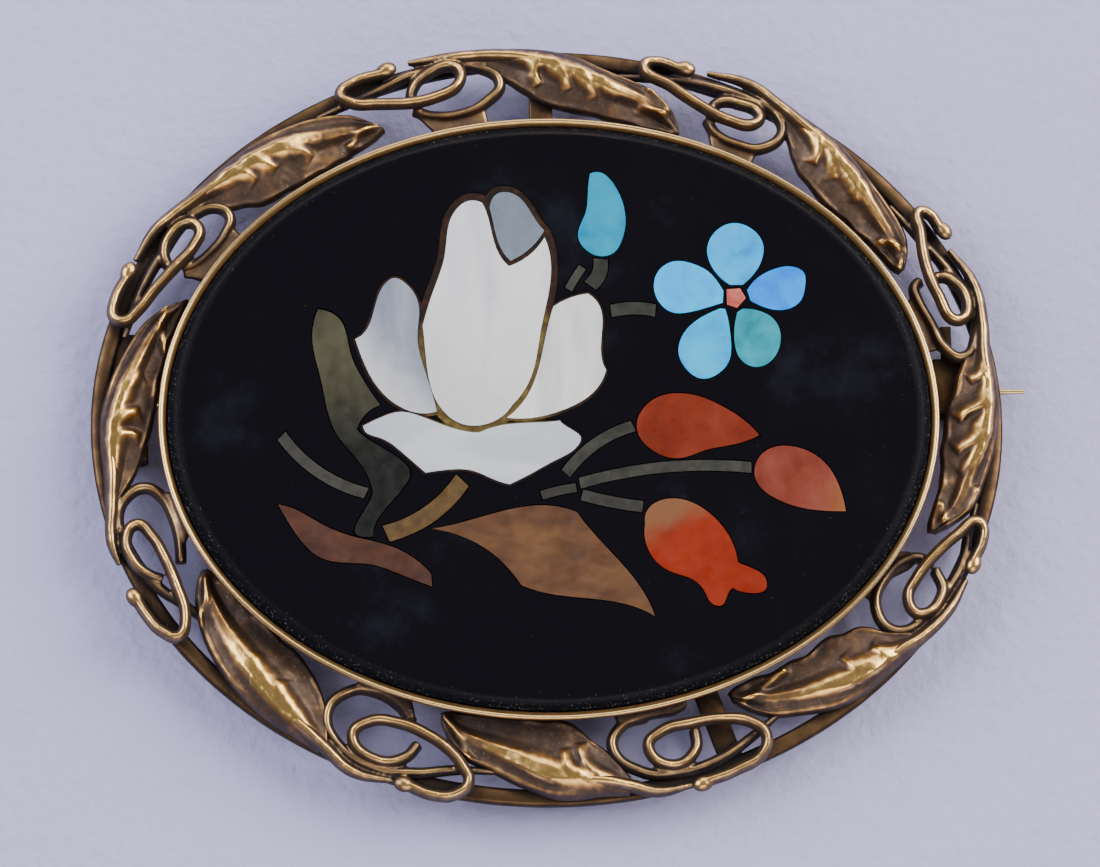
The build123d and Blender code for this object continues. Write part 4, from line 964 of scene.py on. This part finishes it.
def leaf_shell(name, plan, top, under, raised):
    """A closed mesh from a face and an underside, with the face's raised places as an attribute."""
    steps, rows = top.shape
    count = steps * rows
    face = np.concatenate((plan, top[..., None]), axis=-1).reshape(-1, 3)
    back = np.concatenate((plan, under[..., None]), axis=-1).reshape(-1, 3)
    index = np.arange(count).reshape(steps, rows)
    a, b, c, d = index[:-1, :-1], index[1:, :-1], index[1:, 1:], index[:-1, 1:]
    upper = np.stack((a, b, c, d), axis=-1).reshape(-1, 4)
    lower = np.stack((d, c, b, a), axis=-1).reshape(-1, 4) + count
    ring = np.concatenate((index[0, :], index[1:, -1], index[-1, -2::-1], index[-2:0:-1, 0]))
    following = np.roll(ring, -1)
    side = np.stack((ring, following, following + count, ring + count), axis=-1)
    mesh = bpy.data.meshes.new(name)
    vertices, faces = np.concatenate((face, back)), np.concatenate((upper, lower, side))
    mesh.from_pydata(vertices.tolist(), [], faces.tolist())
    attribute = mesh.attributes.new("raised", "FLOAT", "POINT")
    attribute.data.foreach_set("value", np.concatenate((raised.ravel(), np.zeros(count))))
    obj = bpy.data.objects.new(name, mesh)
    bpy.context.scene.collection.objects.link(obj)
    finished(obj, CHASED_GOLD)


for leaf_number, leaf_row in enumerate(LEAVES, start=1):
    leaf(leaf_number, leaf_row)

# Rim with collet, and base ring, each a profile carried round its oval
RIM_PROFILE = profile_of("rim_section", (
    (-0.80, -2.40), (-0.02, -0.30), (0.0, -0.12), (-0.02, 0.0), (-0.06, 0.07), (-0.12, 0.10), (-0.19, 0.08),
    (-0.27, 0.02), (-0.35, -0.06), (-0.41, -0.14), (-0.44, -0.22), (-0.43, -0.30), (-1.12, -2.40)))
RING_PROFILE = profile_of("ring_section", (
    (0.0, 0.12), (0.0, 0.62), (-0.06, 0.74), (-0.18, 0.80), (-0.72, 0.80), (-0.84, 0.74), (-0.90, 0.62),
    (-0.90, 0.12), (-0.84, 0.03), (-0.75, 0.0), (-0.15, 0.0), (-0.06, 0.03)))
RING_POINTS = 64
RING_STEP = 0.35


def swept_ring(name, profile, half_long, half_short, height, material):
    """A profile carried once round an oval."""
    route = []
    for i in range(RING_POINTS):
        t = 2 * math.pi * i / RING_POINTS
        route.append((Vector((PLAQUE_X + half_long * math.cos(t), half_short * math.sin(t), height)), 1.0))
    mesh = swept_mesh(name, [route], profile, RING_STEP, 0.0, material, closed=True)
    finished(joined(name, [mesh]), material)


swept_ring("collet", RIM_PROFILE, RIM_LONG, RIM_SHORT, RIM_TOP, RIM_GOLD)
swept_ring("base_ring", RING_PROFILE, RIM_LONG + BORDER_ENDS, RIM_SHORT + BORDER_SIDES, BACK_ROOM,
           SHADED_DULL_GOLD)

# The back: plate, struts, hinge and catch
PLATE_EDGE = 0.08
BACK_PLATE_IN = 0.95
BACK_PLATE_THICK = 0.4
BACK_PLATE_POINTS = 96
STRUT_ANGLES = (0.0, 157.0)
STRUT_REACH = (-0.3, 0.9)
STRUT_WIDE = 1.28
STRUT_THICK = 0.55
STRUT_UP = 0.1

# The pin's line, and the level of the rivet that it turns on, which is also the lugs' radius
PIN_HIGH = 1.8
PIN_LEVEL = 0.8
HINGE_X = PLAQUE_X - RIM_LONG - BORDER_ENDS + 2.3
BARREL_LONG = 5.1
BRIDGE_SPARE = 1.0
BRIDGE_EDGE = 0.1
LUG_THICK = 0.95
LUG_TOP = PIN_LEVEL + 0.1
LUG_EDGE = 0.07
RIVET = 0.3
RIVET_IN = 0.05
RIVET_OUT = 0.13
RIVET_EDGE = 0.05

CATCH_X = PLAQUE_X + RIM_LONG + BORDER_ENDS - 2.9
CATCH_HALF = 0.8
CATCH_STRIP = 0.35
CATCH_BACK = PIN_HIGH + 0.73
CATCH_TIP = CATCH_BACK - 2.1
CATCH_LEVEL = BACK_ROOM - 0.1
HOOK_EDGE = 0.06
SOLE_LONG = 3.0
TAB_HALF = 0.3
TAB_LONG = 2.8
TAB_EDGE = 0.07
RING_LAP = 0.1


def back_plate():
    """The flat oval plate that closes the collet."""
    turns = [2 * math.pi * i / BACK_PLATE_POINTS for i in range(BACK_PLATE_POINTS)]
    long_reach, short_reach = RIM_LONG - BACK_PLATE_IN, RIM_SHORT - BACK_PLATE_IN
    outline = [(PLAQUE_X + long_reach * math.cos(t), short_reach * math.sin(t)) for t in turns]
    mesh = outlined_plate("back_plate", outline, COLLET_BOTTOM, COLLET_BOTTOM + BACK_PLATE_THICK, PLATE_EDGE)
    finished(joined("back_plate", [mesh]), SHADED_DULL_GOLD)


def struts():
    """The short bars from the base ring in to the collet."""
    meshes = []
    bottom = BACK_ROOM + STRUT_UP
    for angle in STRUT_ANGLES:
        inner, outer = (at(angle, share, 0) for share in STRUT_REACH)
        run = outer - inner
        place = Matrix.Translation(inner) @ Matrix.Rotation(math.atan2(run.y, run.x), 4, "Z")
        outline = box_outline(0, -STRUT_WIDE / 2, run.length, STRUT_WIDE / 2)
        meshes.append(outlined_plate("strut", outline, bottom, bottom + STRUT_THICK, PLATE_EDGE, place))
    finished(joined("struts", meshes), SHADED_DULL_GOLD)


def hinge():
    """Two lugs that hold the pin's barrel, on a bridge soldered in under the ring."""
    half_wide = BARREL_LONG / 2 + BRIDGE_SPARE
    left = PLAQUE_X - RIM_LONG - BORDER_ENDS + RING_WIDTH - RING_LAP
    bridge = box_outline(left, PIN_HIGH - half_wide, HINGE_X + PIN_LEVEL, PIN_HIGH + half_wide)
    meshes = [outlined_plate("bridge", bridge, BACK_ROOM, BACK_ROOM + STRUT_THICK, BRIDGE_EDGE)]
    lug = [(PIN_LEVEL * math.cos(t), PIN_LEVEL * math.sin(t)) for t in np.radians(range(180, 361, 15))]
    lug += [(PIN_LEVEL, LUG_TOP), (-PIN_LEVEL, LUG_TOP)]
    rivet = [(RIVET * math.cos(t), RIVET * math.sin(t)) for t in np.radians(range(0, 360, 24))]
    stand = Matrix.Translation((HINGE_X, PIN_HIGH, PIN_LEVEL)) @ Matrix.Rotation(math.pi / 2, 4, "X")
    face = BARREL_LONG / 2
    back = face + LUG_THICK
    for side in (-1, 1):
        inner, outer = sorted((side * face, side * back))
        meshes.append(outlined_plate("lug", lug, -outer, -inner, LUG_EDGE, stand))
        inner, outer = sorted((side * (back - RIVET_IN), side * (back + RIVET_OUT)))
        meshes.append(outlined_plate("rivet", rivet, -outer, -inner, RIVET_EDGE, stand))
    finished(joined("hinge", meshes), SHADED_DULL_GOLD)


def catch():
    """The C-shaped hook for the pin's point, bent from strip, with its plate and its tab."""
    back, tip, half = CATCH_BACK, CATCH_TIP, CATCH_STRIP / 2
    # The middle of the strip: down from the ring past the pin, along under it and up on its other side
    middle = [(back, BACK_ROOM + 0.1), (back, 0.62), (back - 0.1, 0.32), (back - 0.4, half),
              (tip + 0.35, half), (tip + 0.1, 0.26), (tip, 0.62)]
    turned = []
    for before, point, after in zip([middle[0]] + middle, middle, middle[1:] + [middle[-1]]):
        run = Vector((after[0] - before[0], after[1] - before[1])).normalized()
        turned.append((Vector(point), Vector((-run.y, run.x)) * half))
    outline = [tuple(p + side) for p, side in turned] + [tuple(p - side) for p, side in reversed(turned)]
    upright = Matrix.Rotation(math.pi / 2, 4, "Z") @ Matrix.Rotation(math.pi / 2, 4, "X")
    stand = Matrix.Translation((CATCH_X, 0, 0)) @ upright
    hook = outlined_plate("hook", outline, -CATCH_HALF, CATCH_HALF, HOOK_EDGE, stand)
    right = PLAQUE_X + RIM_LONG + BORDER_ENDS - RING_WIDTH + RING_LAP
    sole = box_outline(CATCH_X - CATCH_HALF, tip, right, tip + SOLE_LONG)
    plate = outlined_plate("catch_plate", sole, CATCH_LEVEL, CATCH_LEVEL + STRUT_THICK, PLATE_EDGE)
    tongue = box_outline(CATCH_X - TAB_HALF, back, CATCH_X + TAB_HALF, back + TAB_LONG)
    tab = outlined_plate("catch_tab", tongue, CATCH_LEVEL, CATCH_LEVEL + CATCH_STRIP, TAB_EDGE)
    finished(joined("catch", [hook, plate, tab]), SHADED_DULL_GOLD)


back_plate()
struts()
hinge()
catch()


# The camera looks nearly straight down, tilted to the brooch's lower edge and a little to its left, and
# the long lens is far away. AIM is the point in the middle of the photograph.
TILT_SOUTH = math.radians(12.5)
TILT_LEFT = math.radians(3.0)
ROLL = math.radians(-1.40)
AIM = Vector((0.079 + PLAQUE_X, -0.53, 2.1))
CAMERA_AWAY = 300
PHOTO_WIDE = 1100
MM_PER_PIXEL = 0.055
SENSOR = 36.0


def take_camera():
    """A long lens above the brooch, framed as the photograph."""
    back = Vector((-math.sin(TILT_LEFT), -math.sin(TILT_SOUTH) * math.cos(TILT_LEFT),
                   math.cos(TILT_SOUTH) * math.cos(TILT_LEFT))).normalized()
    right = Vector((0, 1, 0)).cross(back).normalized()
    up = back.cross(right)
    turned_right = right * math.cos(ROLL) + up * math.sin(ROLL)
    turned_up = up * math.cos(ROLL) - right * math.sin(ROLL)
    data = bpy.data.cameras.new("camera")
    data.sensor_width = SENSOR
    data.lens = SENSOR * CAMERA_AWAY / MM_PER_PIXEL / PHOTO_WIDE
    data.clip_start = 0.01
    camera = bpy.data.objects.new("camera", data)
    bpy.context.scene.collection.objects.link(camera)
    axes = Matrix((turned_right, turned_up, back)).transposed().to_4x4()
    camera.matrix_world = Matrix.Translation(AIM * MM + back * (CAMERA_AWAY * MM)) @ axes
    bpy.context.scene.camera = camera


take_camera()


def soft_light(name, place, size, power, colour):
    """A square soft box that looks at the brooch: its place and side in metres, and watts."""
    data = bpy.data.lights.new(name, "AREA")
    data.shape = "SQUARE"
    data.size = size
    data.energy = power
    data.color = linear(colour)[:3]
    light = bpy.data.objects.new(name, data)
    light.location = place
    light.rotation_euler = (-Vector(place)).to_track_quat("-Z", "Y").to_euler()
    bpy.context.scene.collection.objects.link(light)


soft_light("window_right", (0.40, 0.16, 0.36), 0.42, 3.9, "#fff8ee")
soft_light("window_left", (-0.40, 0.12, 0.34), 0.42, 2.6, "#f6f6ff")
soft_light("window_back", (0.05, 0.52, 0.34), 0.50, 1.8, "#fff8ee")
soft_light("front_fill", (0.05, -0.50, 0.36), 0.50, 1.6, "#fff4ea")

ROOM_COLOUR = "#9e9dac"
ROOM_STRENGTH = 0.45
FLOOR_REACH = 1.5


def room():
    """The pale light that the room's walls send back from all round."""
    world = bpy.data.worlds.new("studio")
    world.use_nodes = True
    background = world.node_tree.nodes["Background"]
    background.inputs["Color"].default_value = linear(ROOM_COLOUR)
    background.inputs["Strength"].default_value = ROOM_STRENGTH
    bpy.context.scene.world = world


def card_floor():
    """The card that the brooch lies on."""
    mesh = bpy.data.meshes.new("floor")
    corners = box_outline(-FLOOR_REACH, -FLOOR_REACH, FLOOR_REACH, FLOOR_REACH)
    mesh.from_pydata([(x, y, 0) for x, y in corners], [], [(0, 1, 2, 3)])
    mesh.materials.append(felt_marked_card())
    floor = bpy.data.objects.new("floor", mesh)
    bpy.context.scene.collection.objects.link(floor)


room()
card_floor()


def dress(node, material):
    """Gives a solid of the frame its material."""
    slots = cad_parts[node].data.materials
    slots.clear()
    slots.append(material)


def thirds(dark, middle, pale):
    """A stone's ramp over the usual range of its markings."""
    return (0.3, dark), (0.5, middle), (0.75, pale)


# White and grey chalcedony for the flower: faint streaks along each petal under a soft gloss, and
# bluer where the stone is thin. A blend runs between two points of the plaque, in millimetres.
dress("centre_petal", polished_stone(
    "milk_white_stone", ((0.3, "#c7ceda"), (0.5, "#e0e4e9"), (0.72, "#ebecef")), 2.4, (1.0, 0.22, 1.0), -8,
    blend=((-1.0, 9.5), (-6.0, 2.0), "#cfd1d5", 0.4, 1.3)))
dress("left_petal", polished_stone(
    "bluish_white_stone", thirds("#737e95", "#8892a5", "#a1a5b3"), 2.2, (1.0, 0.25, 1.0), -20,
    blend=((-8.4, 4.6), (-10.8, 2.8), "#c2c6ce", 0.15, 1.0)))
dress("grey_tip", polished_stone(
    "grey_chalcedony", ((0.3, "#657282"), (0.55, "#747f8e"), (0.8, "#8895a1")), 1.6, (1.0, 0.3, 1.0), -25))
dress("right_petal", polished_stone(
    "streaked_white_stone", ((0.3, "#b7bec8"), (0.5, "#dce0e0"), (0.7, "#f3f0eb")), 1.7, (1.0, 0.2, 1.0), 28))
dress("lower_petal", polished_stone(
    "soft_white_stone", ((0.3, "#9eaab8"), (0.5, "#bac4cf"), (0.7, "#cfd5db")), 2.6, (0.3, 1.0, 1.0), 6))

# Jasper for the leaves and the thick stem: opaque, mottled along the leaf, with a waxy shine
dress("green_leaf", polished_stone(
    "olive_green_stone", ((0.3, "#353424"), (0.55, "#484633"), (0.8, "#595440")), 1.4, (1.0, 0.3, 1.0), -15,
    rough=0.34, blend=((-10.6, -1.5), (-10.2, -5.5), "#0a100b", -1.5, 0.25)))
dress("left_brown_leaf", polished_stone(
    "left_brown_jasper", thirds("#31150b", "#422111", "#502c16"), 0.9, (0.5, 1.0, 1.0), 30, rough=0.4))
dress("large_brown_leaf", polished_stone(
    "brown_jasper", thirds("#412512", "#56361c", "#6b4827"), 1.0, (0.45, 1.0, 1.0), 25, rough=0.4))
dress("tan_stem", polished_stone(
    "tan_jasper", ((0.3, "#402d11"), (0.55, "#55401b"), (0.8, "#685327")), 0.6, rough=0.4))

# Grey-green slate for the thin stems: dull and dark, some with hair cracks where the slip has broken
for stem, stone, dark, pale, lump, crack in (
        ("left_stem", "left_stem_stone", "#242520", "#34352f", 0.6, 0.0),
        ("bud_stem", "bud_stem_stone", "#161713", "#212520", 0.6, 0.0),
        ("bud_stem_foot", "bud_foot_stone", "#21251e", "#34372e", 0.5, 0.0),
        ("flower_stem", "flower_stem_stone", "#191c15", "#262a21", 0.6, 0.0),
        ("upper_berry_stem", "upper_stem_stone", "#1e1f1a", "#2e3028", 0.5, 0.9),
        ("right_berry_stem", "right_stem_stone", "#20221c", "#31332b", 0.5, 0.9),
        ("lower_berry_stem", "lower_stem_stone", "#1e1f1a", "#2d2e28", 0.5, 0.9),
        ("stem_fork", "fork_stone", "#1a1a17", "#272822", 0.5, 0.0)):
    dress(stem, polished_stone(stone, ((0.3, dark), (0.6, pale)), lump, rough=0.4, cracks=crack))

# Turquoise for the bud and the forget-me-not: cloudy sky blue, one petal greener, shining like porcelain
for petal, stone, ramp, lump, rough in (
        ("bud", "bud_turquoise", thirds("#0e7aa4", "#1591b9", "#219fc3"), 1.6, 0.3),
        ("petal_top", "top_turquoise", thirds("#1594dc", "#20abf3", "#2cbdff"), 1.4, 0.3),
        ("petal_right", "right_turquoise", thirds("#047cee", "#0790ff", "#0ea2ff"), 1.4, 0.3),
        ("petal_lower_right", "greenish_turquoise", thirds("#1d7d8f", "#2692a5", "#35a4b7"), 1.2, 0.34),
        ("petal_lower_left", "pale_turquoise", thirds("#1297d8", "#1aaeed", "#28c0f8"), 1.4, 0.3),
        ("petal_left", "left_turquoise", thirds("#11a1ff", "#19b7ff", "#24c9ff"), 1.4, 0.3)):
    dress(petal, polished_stone(stone, ramp, lump, rough=rough, gloss=0.1))
dress("flower_eye", polished_stone("eye_stone", thirds("#a5473d", "#bb5f50", "#d07a66"), 0.5, rough=0.35))

# Coral for the berries: orange-red and clouded, two of them paling to brown along a line
for berry, stone, ramp, lump, paling in (
        ("upper_berry", "upper_coral", thirds("#652111", "#752b19", "#803925"), 2.0, None),
        ("right_berry", "right_coral", thirds("#6b2c20", "#7b392c", "#864a3d"), 1.8,
         ((13.2, -4.8), (15.6, -5.6), "#8a5433", 0.2, 0.9)),
        ("lower_berry", "lower_coral", thirds("#711d0b", "#842712", "#8f331c"), 2.0,
         ((5.8, -7.4), (4.9, -5.6), "#7a5238", 0.1, 0.9))):
    dress(berry, polished_stone(stone, ramp, lump, rough=0.3, gloss=0.25, blend=paling))

dress("plaque", black_marble())
dress("flower_mastic", setting_wax())
dress("pin_stem", PIN_GOLD)

for helper in (WIRE_PROFILE, RIM_PROFILE, RING_PROFILE):
    bpy.data.objects.remove(helper)
